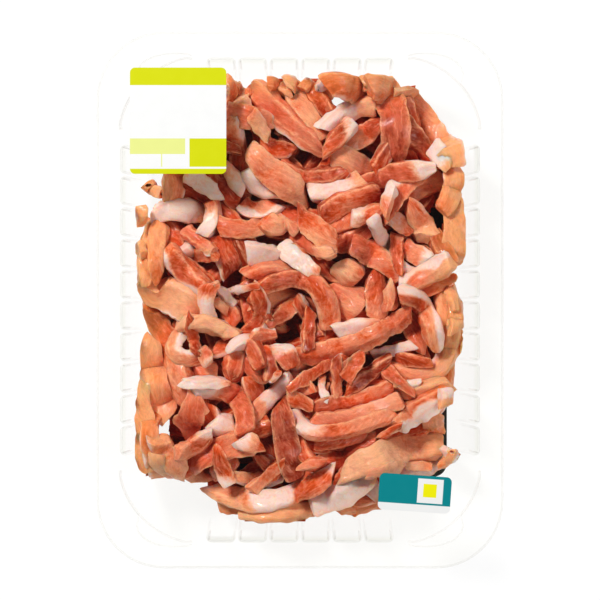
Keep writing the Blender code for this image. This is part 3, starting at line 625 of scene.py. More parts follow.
def meat_material(name, settings):
    """Moist raw pork. Each strip's own coordinates carry its grain, and its attributes say
    where it is fat, how dark and how pink it is, where its cut edges are, how deep in
    the heap it lies for the painted shade, and how near the tray's wall for painted glow."""
    material, tree = new_material(name)
    grain = add_node(
        tree, "ShaderNodeAttribute", attribute_name="grain").outputs["Vector"]
    fatness, tone, blush, rim, depth, lit = (
        add_node(tree, "ShaderNodeAttribute", attribute_name=title).outputs["Fac"]
        for title in ("fatness", "tone", "blush", "rim", "depth", "lit"))

    # Grain that wanders a little, and its noises from coarse to fine
    swirl = add_node(tree, "ShaderNodeTexNoise", {"Vector": grain, "Scale": 0.14, "Detail": 1.0})
    swing = add_node(tree, "ShaderNodeVectorMath", {
        0: swirl.outputs["Color"], 1: (3.5, 3.5, 3.5)}, operation="MULTIPLY").outputs[0]
    place = add_node(
        tree, "ShaderNodeVectorMath", {0: grain, 1: swing}, operation="ADD").outputs[0]
    blotches = noise(tree, place, 0.24, 3.0, 0.6)
    mottle = noise(tree, place, 0.75, 4.0, 0.62)
    stretched = add_node(
        tree, "ShaderNodeMapping", {"Vector": place, "Scale": (0.28, 1.0, 1.0)}).outputs[0]
    bundles = noise(tree, stretched, 0.85, 3.0, 0.6)
    fibres = noise(tree, stretched, 3.2, 3.0, 0.6)

    # Where it is fat: the strip's own share with a ragged border, and thin veins
    ragged = weighted(tree, blotches, 0.5, bundles, 0.5)
    fat_field = plus(tree, fatness, math_node(tree, "SUBTRACT", ragged, 0.5))
    veins = times(tree, remap(tree, bundles, 0.54, 0.72), remap(tree, blotches, 0.50, 0.66))
    veins = times(tree, veins, settings.marbling)
    fat = math_node(tree, "MAXIMUM", remap(tree, fat_field, 0.28, 0.74), veins, clamp=True)

    # Lean, from dark to pale, pinker in places, paler at its cut edges (partly membrane, partly
    # painted rim light), with painted glow beside the wall where light comes through the tray
    shade = weighted(tree, blotches, 0.9, mottle, 0.5)
    shade = plus(tree, tone, math_node(tree, "SUBTRACT", shade, 0.7))
    light = plus(tree, remap(tree, shade, 0.45, 1.0, smooth=False),
                 remap(tree, bundles, 0.46, 0.72, 0.0, 0.30), clamp=True)
    deep = remap(tree, shade, 0.0, 0.5, smooth=False)
    lean = mix_colour(tree, deep, settings.dark, settings.lean)
    lean = mix_colour(tree, light, lean, settings.pale)
    pinker = plus(tree, blush, remap(tree, blotches, 0.3, 0.7, -0.5, 0.5), clamp=True)
    lean = mix_colour(tree, times(tree, pinker, 0.6), lean, settings.pink)
    # The cut edges are paler: partly membrane, partly painted rim light through the thin edge
    edges = times(tree, rim, remap(tree, mottle, 0.35, 0.60, 0.25, 0.85))
    lean = mix_colour(tree, edges, lean, settings.pale)
    # Painted glow beside the wall, where light comes through the clear tray
    lean = mix_colour(tree, times(tree, lit, 0.5), lean, settings.painted_glow)
    fine = weighted(tree, fibres, 0.5, bundles, 0.5)
    fine = remap(tree, fine, 0.35, 0.65, 0.84, 1.10, smooth=False)
    lean = mix_colour(tree, 1.0, lean, grey(tree, fine), "MULTIPLY")

    # Fat, whiter where it is thick and pinker at its cut edges (partly painted rim light), then
    # painted shade: darker and redder the deeper the meat lies in the heap
    whiter = plus(tree, remap(tree, fat_field, 0.50, 1.05),
                  remap(tree, mottle, 0.35, 0.65, -0.25, 0.25), clamp=True)
    fatty = mix_colour(tree, whiter, settings.fat_pink, settings.fat)
    # The same edge mask makes the fat pinker at its cut edges, partly painted rim light
    fatty = mix_colour(tree, times(tree, edges, 0.7), fatty, settings.fat_pink)
    colour = mix_colour(tree, fat, lean, fatty)
    painted_shade_colour = mix_colour(tree, 1.0, colour, settings.painted_shade_tint, "MULTIPLY")
    colour = mix_colour(tree, depth, colour, painted_shade_colour)

    # Relief of the meat, and a smoother one for the moist sheen, which fades deep down
    relief = plus(tree, times(tree, fibres, 0.12), mottle)
    relief = plus(tree, relief, times(tree, bundles, 0.5))
    wet = times(tree, remap(tree, blotches, 0.35, 0.60, 0.35, 1.0), settings.wetness)
    wet = times(tree, wet, remap(tree, depth, 0.0, 0.7, 1.0, 0.1))
    shader = add_node(tree, "ShaderNodeBsdfPrincipled", {
        "Base Color": colour, "Normal": bump_node(tree, relief, 0.7, 0.45 * MM),
        "Roughness": remap(tree, mottle, 0.35, 0.65, 0.30, 0.55, smooth=False),
        "IOR": 1.4, "Specular IOR Level": 0.02, "Subsurface Weight": 0.65,
        "Subsurface Radius": (0.8, 0.30, 0.12), "Subsurface Scale": 2.6 * MM,
        "Coat Weight": wet, "Coat Roughness": 0.1, "Coat IOR": 1.45,
        "Coat Normal": bump_node(tree, mottle, 0.6, 0.3 * MM)})
    surface(tree, shader)
    return material


def print_material(name, colour):
    """Satin coated paper, printed in one colour."""
    material, tree = new_material(name)
    place = add_node(tree, "ShaderNodeTexCoord").outputs["Object"]
    cloud = noise(tree, place, 220.0, 3.0)
    speckle = noise(tree, place, 3500.0, 1.0)
    level = times(tree, remap(tree, cloud, 0.0, 1.0, 0.97, 1.02, smooth=False),
                  remap(tree, speckle, 0.2, 0.8, 0.985, 1.01))
    printed = mix_colour(tree, 1.0, colour, grey(tree, level), "MULTIPLY")
    shader = add_node(tree, "ShaderNodeBsdfPrincipled", {
        "Base Color": printed, "Roughness": remap(tree, cloud, 0.3, 0.7, 0.42, 0.5),
        "Specular IOR Level": 0.15, "Normal": bump_node(tree, speckle, 0.1, 0.05 * MM)})
    surface(tree, shader)
    return material


def fleece_material(settings):
    """Black fleece with rows of embossed dots."""
    material, tree = new_material("pad_fleece")
    place = add_node(tree, "ShaderNodeTexCoord").outputs["Object"]
    cells = add_node(
        tree, "ShaderNodeTexVoronoi",
        {"Vector": place, "Scale": 1.0 / settings.dot_pitch, "Randomness": 0.1},
        feature="F1", voronoi_dimensions="2D").outputs["Distance"]
    dots = remap(tree, cells, 0.15, 0.38, 1.0, 0.0)
    fluff = noise(tree, place, 2500.0, 3.0)
    tint = times(tree, remap(tree, dots, 0.0, 1.0, 0.5, 2.2, smooth=False),
                 remap(tree, fluff, 0.3, 0.7, 0.6, 1.5))
    height = plus(tree, dots, times(tree, fluff, 0.3))
    shader = add_node(tree, "ShaderNodeBsdfPrincipled", {
        "Base Color": mix_colour(tree, 1.0, settings.colour, grey(tree, tint), "MULTIPLY"),
        "Normal": bump_node(tree, height, 1.0, settings.emboss),
        "Roughness": 0.75, "Sheen Weight": 0.2})
    surface(tree, shader)
    return material


# Shapes

def rounded_outline(width, length, radius, steps):
    """Corner points of a rounded rectangle about the origin, counter-clockwise."""
    points = []
    for quarter, (side_x, side_y) in enumerate(((1, 1), (-1, 1), (-1, -1), (1, -1))):
        centre = Vector((side_x * (width / 2 - radius), side_y * (length / 2 - radius)))
        for step in range(steps + 1):
            angle = (quarter + step / steps) * math.pi / 2
            points.append(centre + radius * Vector((math.cos(angle), math.sin(angle))))
    return points


def new_piece(name, bm, materials, node):
    """Put a bmesh in the scene as a finished piece that stands for a solid."""
    mesh = bpy.data.meshes.new(name)
    bm.to_mesh(mesh)
    bm.free()
    for material in materials:
        mesh.materials.append(material)
    piece = bpy.data.objects.new(name, mesh)
    bpy.context.scene.collection.objects.link(piece)
    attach(piece, "root")
    if node:
        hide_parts(node)
    return piece


def rounded_plate(width, length, radius, thickness, steps=8):
    """A flat rounded plate about the origin, from height zero up."""
    bm = bmesh.new()
    outline = rounded_outline(width, length, radius, steps)
    face = bm.faces.new([bm.verts.new((p.x, p.y, 0.0)) for p in outline])
    raised = bmesh.ops.extrude_face_region(bm, geom=[face])["geom"]
    top = [item for item in raised if isinstance(item, bmesh.types.BMVert)]
    bmesh.ops.translate(bm, verts=top, vec=(0, 0, thickness))
    bmesh.ops.recalc_face_normals(bm, faces=bm.faces)
    return bm


def put_in_box(bm, low, high):
    """Move a plate made about the origin to the middle of a solid's box, at its underside."""
    middle = ((high[0] + low[0]) / 2, (high[1] + low[1]) / 2, low[2])
    bmesh.ops.translate(bm, verts=bm.verts, vec=middle)


def cut_fields(bm, cuts_x, cuts_y):
    """Cut a plate along X and Y, in millimetres, so that each printed field has its own faces."""
    for axis, cuts in ((0, cuts_x), (1, cuts_y)):
        for place in cuts:
            point = Vector((0, 0, 0))
            normal = Vector((0, 0, 0))
            point[axis] = place * MM
            normal[axis] = 1.0
            everything = list(bm.verts) + list(bm.edges) + list(bm.faces)
            bmesh.ops.bisect_plane(
                bm, geom=everything, dist=1e-6, plane_co=point, plane_no=normal)


# Tray

def corner_centre():
    """Where the arc of the opening's corner has its centre, in metres."""
    return CORNER_X * MM, CORNER_Y * MM


def corner_angle(point):
    """Degrees round a corner's arc from the long side, or None along the straight sides."""
    corner_x, corner_y = corner_centre()
    over_x = abs(point.x) - corner_x
    over_y = abs(point.y) - corner_y
    if over_x < -1e-6 or over_y < -1e-6:
        return None
    return math.degrees(math.atan2(over_y, over_x))


def outward(x, y):
    """Unit direction out of the opening's outline, which is round about the corner centres."""
    half_x, half_y = corner_centre()
    over = Vector((max(abs(x) - half_x, 0.0), max(abs(y) - half_y, 0.0)))
    over.normalize()
    return Vector((math.copysign(over.x, x), math.copysign(over.y, y)))


def opening_ring(settings):
    """The opening's outline, with a point at each rib."""
    width, length = OPENING_WIDTH * MM, OPENING_LENGTH * MM
    corners = rounded_outline(width, length, OPENING_RADIUS * MM, CORNER_STEPS)
    short_ribs = [
        (i - SHORT_SIDE_RIBS // 2) * SHORT_SIDE_PITCH * MM for i in range(SHORT_SIDE_RIBS)]
    long_ribs = [
        (i - LONG_SIDE_RIBS // 2) * LONG_SIDE_PITCH * MM for i in range(LONG_SIDE_RIBS)]
    sides = (
        [Vector((x, length / 2)) for x in reversed(short_ribs)],
        [Vector((-width / 2, y)) for y in reversed(long_ribs)],
        [Vector((x, -length / 2)) for x in short_ribs],
        [Vector((width / 2, y)) for y in long_ribs],
    )
    ring = []
    for quarter, side in enumerate(sides):
        first = quarter * (CORNER_STEPS + 1)
        ring += corners[first:first + CORNER_STEPS + 1]
        ring += side
    return ring


def rim_spot(co, settings, inset):
    """Where a point of the opening's outline goes on the rim's outline, less an inset."""
    inset += settings.wall / 2
    half_x = settings.rim_width / 2 - inset
    half_y = settings.rim_length / 2 - inset
    radius = settings.rim_radius - inset
    angle = corner_angle(co)
    if angle is None and abs(co.x) < CORNER_X * MM:
        return Vector((co.x, math.copysign(half_y, co.y)))
    if angle is None:
        return Vector((math.copysign(half_x, co.x), co.y))
    angle = math.radians(angle)
    return Vector((
        math.copysign(half_x - radius + radius * math.cos(angle), co.x),
        math.copysign(half_y - radius + radius * math.sin(angle), co.y)))


def ledge_width(co, settings):
    """How far the ledge at a corner stands out: a crescent on the half by the short side."""
    angle = corner_angle(co)
    if angle is None:
        return 0.0
    share = min(max((angle - LEDGE_START) / LEDGE_SWEEP, 0.0), 1.0)
    return settings.ledge * max(math.sin(math.pi * share ** 0.5), 0.0) ** 1.3


def corner_share(co):
    """0 along the straight sides, 1 round a corner, with a short blend at each end of its arc."""
    angle = corner_angle(co)
    if angle is None:
        return 0.0
    into_arc = min(min(angle, 90 - angle) / CORNER_BLEND, 1.0)
    return into_arc * into_arc * (3 - 2 * into_arc)


def side_inset(co, height):
    """How far the wall stands in from the opening. The corners stand out towards the top."""
    rise = min(max((height - POCKET_FOOT) / (WALL_TOP - POCKET_FOOT), 0.0), 1.0)
    return SIDE_INSET * MM * (1 - corner_share(co) * rise)


def wall_spot(co, height, turn_in):
    """Where a point of the opening's outline goes on the wall at a height."""
    half_x, half_y = corner_centre()
    base = Vector((min(max(co.x, -half_x), half_x), min(max(co.y, -half_y), half_y)))
    lean_in = (TRAY_HEIGHT * MM - height) * math.tan(DRAFT)
    reach = (OPENING_RADIUS - WALL / 2) * MM - side_inset(co, height) - lean_in - turn_in
    spot = base + outward(co.x, co.y) * reach
    return Vector((spot.x, spot.y, height))


def round_pocket(bm, face, radius):
    """Give one rectangular face of the wall round corners."""
    middle = face.calc_center_median()
    upright = Vector((0, 0, 1)) - face.normal * face.normal.z
    upright.normalize()
    level = upright.cross(face.normal)
    half_level = max(abs((vert.co - middle).dot(level)) for vert in face.verts)
    half_upright = max(abs((vert.co - middle).dot(upright)) for vert in face.verts)
    for edge in list(face.edges):
        cuts = max(3, round(edge.calc_length() / (POCKET_CUT * MM)))
        bmesh.ops.subdivide_edges(bm, edges=[edge], cuts=cuts)
    for vert in face.verts:
        a, b = (vert.co - middle).dot(level), (vert.co - middle).dot(upright)
        corner_a = math.copysign(half_level - radius, a)
        corner_b = math.copysign(half_upright - radius, b)
        if abs(a) > abs(corner_a) and abs(b) > abs(corner_b):
            arm = Vector((a - corner_a, b - corner_b))
            arm.normalize()
            vert.co = (
                middle + level * (corner_a + arm.x * radius)
                + upright * (corner_b + arm.y * radius))


def press_pockets(bm, band, settings):
    """Press a pocket out of each wall face between two ribs."""
    limit_x, limit_y = POCKET_LIMITS
    pockets = []
    for face in band:
        centre = face.calc_center_median()
        straight = abs(centre.x) < limit_x * MM or abs(centre.y) < limit_y * MM
        if straight and face.calc_area() > POCKET_AREA * MM * MM:
            pockets.append(face)
    bmesh.ops.inset_individual(bm, faces=pockets, thickness=POCKET_MARGIN * MM)
    middles = [face.calc_center_median() for face in pockets]
    for face in pockets:
        round_pocket(bm, face, POCKET_RADIUS * MM)
    for thickness, depth, bends in POCKET_STEPS:
        made = bmesh.ops.inset_individual(
            bm, faces=pockets, thickness=thickness * MM,
            depth=-settings.pocket_depth * depth)["faces"]
        for face in made:
            spot = face.calc_center_median()
            near = min(middles, key=lambda middle: (middle - spot).length)
            upper = spot.z > near.z - BEND_BELOW_MIDDLE * MM
            face.material_index = int(bends and upper)


def tray_sheet(settings):
    """The pressed sheet's upper face: flange, turned edge, pockets, ribs and floor."""
    bm = bmesh.new()
    flange = settings.height - settings.wall / 2
    ring_points = opening_ring(settings)

    def on_edge(point, height, ledge):
        """Where a point of the opening goes at a height, with a share of the corner's ledge."""
        rounding = (1 - 0.6 * corner_share(point)) * (height - WALL_TOP)
        turn_out = rounding + ledge * ledge_width(point, settings)
        spot = wall_spot(point, settings.height, -turn_out)
        return Vector((spot.x, spot.y, height))

    verts = [bm.verts.new(on_edge(p, flange, 1.0)) for p in ring_points]
    plan = {vert: point for vert, point in zip(verts, ring_points)}
    edges = [bm.edges.new((a, b)) for a, b in zip(verts, verts[1:] + verts[:1])]

    def follow(made):
        """Carry each vertex's opening point over to the vertex extruded from it."""
        for edge in made:
            for vert in edge.verts:
                if vert not in plan:
                    for other in vert.link_edges:
                        old = other.other_vert(vert)
                        if old in plan and other not in made:
                            plan[vert] = plan[old]

    def ring_out(source, rule, bends=lambda face: False):
        """Extrude a ring of edges and place it by a rule. Bends are faces of denser plastic."""
        made = bmesh.ops.extrude_edge_only(bm, edges=source)["geom"]
        made = [item for item in made if isinstance(item, bmesh.types.BMEdge)]
        follow(set(made))
        for vert in {vert for edge in made for vert in edge.verts}:
            vert.co = rule(plan[vert])
        for face in {face for edge in made for face in edge.link_faces}:
            face.material_index = int(bends(face))
        return made

    def at_corner(face):
        return corner_share(face.calc_center_median()) > 0.5

    bend = settings.rim_bend
    outer = edges
    for share in RIM_TURNS:
        angle = share * math.pi / 2
        inset = bend * (1 - math.sin(angle))
        drop = bend * (1 - math.cos(angle))
        outer = ring_out(
            outer, lambda p: Vector((*rim_spot(p, settings, inset), flange - drop)),
            bends=lambda face: share > 0.5)
    ring_out(outer, lambda p: Vector(
        (*rim_spot(p, settings, 0.0), settings.height - settings.rim_skirt)))

    step = ring_out(
        edges, lambda p: on_edge(p, flange - LEDGE_DROP * MM, LEDGE_SHARE), bends=at_corner)
    step = ring_out(step, lambda p: on_edge(p, flange - LEDGE_FOOT * MM, 0.0))
    top = ring_out(step, lambda p: on_edge(p, WALL_TOP, 0.0), bends=at_corner)
    before = set(bm.faces)
    foot = ring_out(top, lambda p: wall_spot(p, POCKET_FOOT, 0.0))
    band = set(bm.faces) - before
    for height, turn_in in FOOT_RINGS:
        foot = ring_out(foot, lambda p: wall_spot(p, height * MM, turn_in * MM))
    bmesh.ops.contextual_create(bm, geom=foot)
    bmesh.ops.recalc_face_normals(bm, faces=bm.faces)
    floor = min(bm.faces, key=lambda face: face.calc_center_median().z)
    if floor.normal.z < 0:
        bmesh.ops.reverse_faces(bm, faces=bm.faces)

    press_pockets(bm, band, settings)
    return bm


# Heap: the solids follow the same rules, but have no small pieces or scraps

def wall_gap(x, y):
    """How far a point stands out past the corner centres' rectangle, and its nearest base point."""
    base_x = np.clip(x, -CORNER_X, CORNER_X)
    base_y = np.clip(y, -CORNER_Y, CORNER_Y)
    return np.maximum(np.hypot(x - base_x, y - base_y), 1e-6), base_x, base_y


def wall_reach(height):
    """How far out the wall's inner face stands at a height, less the gap that meat keeps to it."""
    foot = np.clip(FOOT_ROUND - height, 0.0, FOOT_ROUND) * FOOT_SLOPE
    lean_in = (TRAY_HEIGHT - height) * math.tan(DRAFT)
    return OPENING_RADIUS - SIDE_INSET - WALL - WALL_CLEARANCE - lean_in - foot


def floor_heights(x, y, margin=4.0):
    """The lowest height for meat: just clear of the pad, the tray's floor or its leaning wall."""
    on_pad = np.abs(x - PAD_CENTRE[0]) < PAD_WIDTH / 2 + margin
    on_pad &= np.abs(y - PAD_CENTRE[1]) < PAD_LENGTH / 2 + margin
    levels = np.linspace(0.0, WALL_REST, 41)
    wall_level = np.interp(wall_gap(x, y)[0], wall_reach(levels), levels)
    return np.maximum(np.where(on_pad, PAD_TOP + GAP, PAD_BOTTOM), wall_level)


def keep_inside(x, y, height, margin):
    """Move points in from the wall where it has no room for them."""
    out, base_x, base_y = wall_gap(x, y)
    shrink = np.minimum(1.0, (wall_reach(height) - margin) / out)
    return base_x + (x - base_x) * shrink, base_y + (y - base_y) * shrink


def bed_height(x, y):
    """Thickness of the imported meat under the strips: a low dome, thin at the edge and the wells."""
    edge = (np.abs(x) / BED_HALF_X) ** 4 + (np.abs(y) / BED_HALF_Y) ** 4
    height = BED_HEIGHT * np.clip(1 - edge, 0, 1) ** 0.6
    for well_x, well_y, radius in WELLS:
        distance = np.hypot(x - well_x, y - well_y) / radius
        height = height * (1 - 0.9 * np.exp(-distance ** 2))
    return height


class Pile:
    """Height map of the heap while strips are laid on it, one cell a millimetre."""

    def __init__(self):
        x = np.arange(-MAP_HALF_X, MAP_HALF_X + 1)
        y = np.arange(-MAP_HALF_Y, MAP_HALF_Y + 1)
        self.grid_x, self.grid_y = np.meshgrid(x, y, indexing="ij")
        self.top = floor_heights(self.grid_x, self.grid_y) + bed_height(self.grid_x, self.grid_y)

    def cells(self, x, y):
        """Columns and rows of the cells at points in millimetres."""
        column = np.clip(np.rint(x).astype(int) + MAP_HALF_X, 0, 2 * MAP_HALF_X)
        row = np.clip(np.rint(y).astype(int) + MAP_HALF_Y, 0, 2 * MAP_HALF_Y)
        return column, row

    def lay(self, path, width, thickness, lift=0.0):
        """Drape a strip along a path. Returns its centre line."""
        path_x, path_y = path[:, 0], path[:, 1]
        along = np.gradient(path, axis=0)
        along /= np.maximum(np.linalg.norm(along, axis=1, keepdims=True), 1e-6)
        across = np.linspace(-0.5, 0.5, 7) * width
        side_x = path_x[:, None] - along[:, 1:2] * across
        side_y = path_y[:, None] + along[:, 0:1] * across
        under = self.top[self.cells(side_x, side_y)]
        carried = np.sort(under, axis=1)[:, -4:].mean(axis=1)
        reach = 2
        padded = np.pad(carried, reach, mode="edge")
        carried = np.max([padded[i:i + len(carried)] for i in range(2 * reach + 1)], axis=0)
        spread = 7
        padded = np.pad(carried, spread, mode="edge")
        weights = np.hanning(2 * spread + 3)[1:-1]
        carried = np.convolve(padded, weights / weights.sum(), mode="valid")
        lowest = floor_heights(side_x, side_y).max(axis=1) + lift
        bottom = np.maximum(carried - STRIP_SINK, lowest)
        bottom = np.minimum(bottom, HEAP_TOP - thickness)
        finer = np.linspace(-0.5, 0.5, 15) * (width - 1.0)
        cover_x = path_x[:, None] - along[:, 1:2] * finer
        cover_y = path_y[:, None] + along[:, 0:1] * finer
        cover = np.broadcast_to((bottom + thickness)[:, None], cover_x.shape)
        np.maximum.at(self.top, self.cells(cover_x, cover_y), cover)
        middle = bottom + thickness / 2
        inside_x, inside_y = keep_inside(path_x, path_y, bottom, width / 2)
        return np.column_stack((inside_x, inside_y, middle))


def bend_path(start, middle, end):
    """Evenly spaced points on the curve that passes through three points."""
    start, middle, end = (np.array(point, dtype=float) for point in (start, middle, end))
    pull = 2 * middle - (start + end) / 2
    length = np.linalg.norm(middle - start) + np.linalg.norm(end - middle)
    count = max(int(length / PATH_STEP), 4)
    t = np.linspace(0, 1, count + 1)[:, None]
    return (1 - t) ** 2 * start + 2 * t * (1 - t) * pull + t ** 2 * end


def near_well(path):
    """Whether a path covers the middle of a well."""
    for x, y, radius in WELLS:
        if np.hypot(path[:, 0] - x, path[:, 1] - y).min() < radius:
            return True
    return False


def inside_outline(x, y):
    """The heap's outline, narrower than the tray and uneven along its edge."""
    angle = math.atan2(y / HEAP_HALF_Y, x / HEAP_HALF_X)
    wobble = 1 + 0.03 * math.sin(3 * angle + 1.0) + 0.02 * math.sin(7 * angle)
    return (abs(x) / HEAP_HALF_X) ** 3 + (abs(y) / HEAP_HALF_Y) ** 3 < wobble


def strip_facts(line, width, thickness, roll, look, seed):
    """What is needed to shape one laid strip."""
    return {
        "line": line, "width": width, "thickness": thickness, "roll": roll, "look": look,
        "seed": seed}


def fill_path(draw):
    """A seeded place for a strip of the fill. Returns its path and width."""
    x = draw.uniform(-FILL_REACH_X, FILL_REACH_X)
    y = draw.uniform(-FILL_REACH_Y, FILL_REACH_Y)
    turn = draw.uniform(0, math.pi)
    half = draw.uniform(*FILL_HALF_LENGTH)
    bow = draw.uniform(-FILL_BOW, FILL_BOW)
    step_x = half * math.cos(turn)
    step_y = half * math.sin(turn)
    path = bend_path(
        (x - step_x, y - step_y),
        (x - bow * math.sin(turn), y + bow * math.cos(turn)),
        (x + step_x, y + step_y))
    return path, draw.uniform(*FILL_WIDTH)


def lay_fill(pile):
    """Seeded strips under those that show, each in the lowest of the places tried."""
    draw = random.Random(HEAP_SEED)
    laid = []
    for index in range(FILL_STRIPS):
        lowest = None
        for _ in range(FILL_TRIES):
            path, width = fill_path(draw)
            ends_in = inside_outline(*path[0]) and inside_outline(*path[-1])
            if not ends_in or near_well(path):
                continue
            height = pile.top[pile.cells(path[:, 0], path[:, 1])].mean()
            if lowest is None or height < lowest[0]:
                lowest = (height, path, width)
        if lowest:
            line = pile.lay(lowest[1], lowest[2], STRIP_THICKNESS)
            laid.append(strip_facts(
                line, lowest[2], STRIP_THICKNESS, 0.0, "under", FILL_SEED + index))
    return laid


def lay_scraps(pile):
    """Short seeded strips in the lowest of the places tried, clear of the open gaps."""
    draw = random.Random(HEAP_SEED + 1)
    laid = []
    for index in range(SCRAPS):
        lowest = None
        for _ in range(SCRAP_TRIES):
            longer, width = fill_path(draw)
            middle = longer[len(longer) // 2]
            half = (longer[-1] - longer[0]) / 2 * SCRAP_SHARE
            path = bend_path(middle - half, middle, middle + half)
            blocks_gap = any(
                np.hypot(path[:, 0] - x * FLOOR_SPREAD, path[:, 1] - y * FLOOR_SPREAD).min()
                < radius + GAP_MARGIN for x, y, radius in FLOOR_GAPS)
            if blocks_gap or not inside_outline(*(middle * SCRAP_OUTLINE)):
                continue
            height = pile.top[pile.cells(path[:, 0], path[:, 1])].mean()
            if lowest is None or height < lowest[0]:
                lowest = (height, path, width * SCRAP_SHARE * SCRAP_WIDTH_SHARE)
        if lowest:
            look = draw.choice(SCRAP_LOOKS)
            roll = math.radians(draw.uniform(-STRIP_ROLL, STRIP_ROLL))
            line = pile.lay(lowest[1], lowest[2], SCRAP_THICKNESS, SCRAP_LIFT)
            laid.append(strip_facts(
                line, lowest[2], SCRAP_THICKNESS, roll, look, SCRAP_SEED + index))
    return laid


@functools.lru_cache(maxsize=None)
def heap_layout():
    """Lay every strip in order. Returns the fill, the strips that show, the small ones and
    the heights."""
    pile = Pile()
    fill = lay_fill(pile)
    shown = []
    for index, (start, middle, end, width, look) in enumerate(STRIPS):
        draw = random.Random(HEAP_SEED + LAY_SEED + index)
        thickness = STRIP_THICKNESS * draw.uniform(*STRIP_UNEVEN)
        roll = math.radians(draw.uniform(-STRIP_ROLL, STRIP_ROLL))
        lift = draw.uniform(*STRIP_LIFT) + width / 2 * abs(math.sin(roll))
        path = bend_path(start, middle, end) * SIGHT_SPREAD
        line = pile.lay(path, width, thickness, lift)
        shown.append(strip_facts(line, width, thickness, roll, look, SHOWN_SEED + index))
    small = []
    for index, (start, middle, end, width, look) in enumerate(SMALL_STRIPS):
        draw = random.Random(SMALL_SEED + index)
        thickness = min(SMALL_THICKNESS, width) * draw.uniform(*SMALL_UNEVEN)
        roll = math.radians(draw.uniform(-SMALL_ROLL, SMALL_ROLL))
        path = bend_path(start, middle, end) * SIGHT_SPREAD
        line = pile.lay(path, width, thickness, SMALL_LIFT)
        small.append(strip_facts(line, width, thickness, roll, look, SMALL_SEED + index))
    return fill, shown, small + lay_scraps(pile), pile


# Strips as they are seen

@functools.lru_cache(maxsize=None)
def heap_crown():
    """The heap's heights, smoothed over the width of a few strips."""
    pile = heap_layout()[3]
    weights = np.hanning(SMOOTHING + 2)[1:-1]
    weights /= weights.sum()
    smooth = pile.top
    for axis in (0, 1):
        smooth = np.apply_along_axis(np.convolve, axis, smooth, weights, "same")
    return smooth


def walled(spots):
    """How near points lie to the tray's wall, where light comes through: 1 beside it, 0 inside."""
    room = np.minimum(LIT_HALF_X - np.abs(spots[:, 0]), LIT_HALF_Y - np.abs(spots[:, 1]))
    return 1 - np.clip(room / LIT_REACH, 0, 1)


def painted_shade_depth(spots):
    """How deep points lie between the strips round them, as the share of painted shade: 0 on top, 1
    far down, less beside the wall.
    """
    pile = heap_layout()[3]
    crown = heap_crown()[pile.cells(spots[:, 0], spots[:, 1])]
    deep = np.clip((crown - spots[:, 2] + 0.5) / DARK_DEPTH, 0, 1)
    return deep * (1 - 0.9 * walled(spots))


@functools.lru_cache(maxsize=None)
def strip_block(segments, across, through):
    """A closed block cut into a grid, two units a side, ready to be bent into a strip."""
    bm = bmesh.new()
    bmesh.ops.create_cube(bm, size=2.0)
    for axis, cuts in enumerate((segments - 1, across - 1, through - 1)):
        edges = [
            edge for edge in bm.edges
            if abs(edge.verts[0].co[axis] - edge.verts[1].co[axis]) > 1e-6]
        bmesh.ops.subdivide_edges(bm, edges=edges, cuts=cuts, use_grid_fill=True)
    mesh = bpy.data.meshes.new("strip_block")
    bm.to_mesh(mesh)
    bm.free()
    corners = np.empty(len(mesh.vertices) * 3)
    mesh.vertices.foreach_get("co", corners)
    return mesh, corners.reshape(-1, 3)


def ripples(points, draw, wavelength, count=7):
    """Smooth uneven values of about -1 to 1: a few waves in seeded directions."""
    total = np.zeros(len(points))
    for _ in range(count):
        direction = np.array([draw.gauss(0, 1) for _ in range(3)])
        direction /= np.linalg.norm(direction)
        rate = 2 * math.pi / (wavelength * draw.uniform(0.7, 1.6))
        total += np.sin(points @ direction * rate + draw.uniform(0, 2 * math.pi))
    return total / math.sqrt(count)


def fat_share(look, u, s, length, draw):
    """How fatty each point of a strip is: 0 lean, 1 fat, blending over a few millimetres.

    Left and right are the strip's sides as one goes from its start to its end."""
    wave = 0.3 * np.sin(u * draw.uniform(3, 9) + draw.uniform(0, 6))
    at = u * length
    if look == "fat":
        from_bare = at if draw.random() < 0.5 else length - at
        field = (from_bare - draw.uniform(-1.0, 6.0)) / 8 + 0.7 * wave
    elif look in ("start", "end"):
        far = length - at if look == "start" else at
        field = (far - draw.uniform(0.60, 0.78) * length) / 8 + 0.6 * wave + 0.35 * s
    elif look in ("left", "right"):
        side = s if look == "left" else -s
        field = 1.6 * (side + wave - draw.uniform(0.1, 0.5))
    elif look == "mixed":
        field = 1.3 * np.sin(u * draw.uniform(8, 11) + draw.uniform(0, 6)) + 0.6 * s
    else:
        side = s * draw.choice((-1, 1))
        field = 1.4 * (side + wave - draw.uniform(0.95, 1.5))
    return np.clip(0.5 + field, 0, 1)


# Each look's tone, from dark to pale, and blush, from orange to pink. The low tones of the dark
# strips and of the fill under them are partly painted shade, as they lie in shade between and under
# others.
TONES = {
    "lean": (0.34, 0.60), "dark": (0.06, 0.26), "pale": (0.80, 1.05), "pink": (0.58, 0.80),
    "fat": (0.62, 0.85), "start": (0.38, 0.66), "end": (0.38, 0.66), "left": (0.38, 0.66),
    "right": (0.38, 0.66), "mixed": (0.45, 0.70), "under": (0.05, 0.35)}
BLUSHES = {"pink": (0.6, 1.0), "pale": (0.0, 0.7), "dark": (0.0, 0.4), "under": (0.0, 0.4)}
PLAIN_BLUSH = (0.05, 0.6)
KINDS = {
    "strips_lean": ("lean", "dark", "pink"),
    "strips_mixed": ("start", "end", "left", "right", "mixed"),
    "strips_fat": ("fat", "pale")}


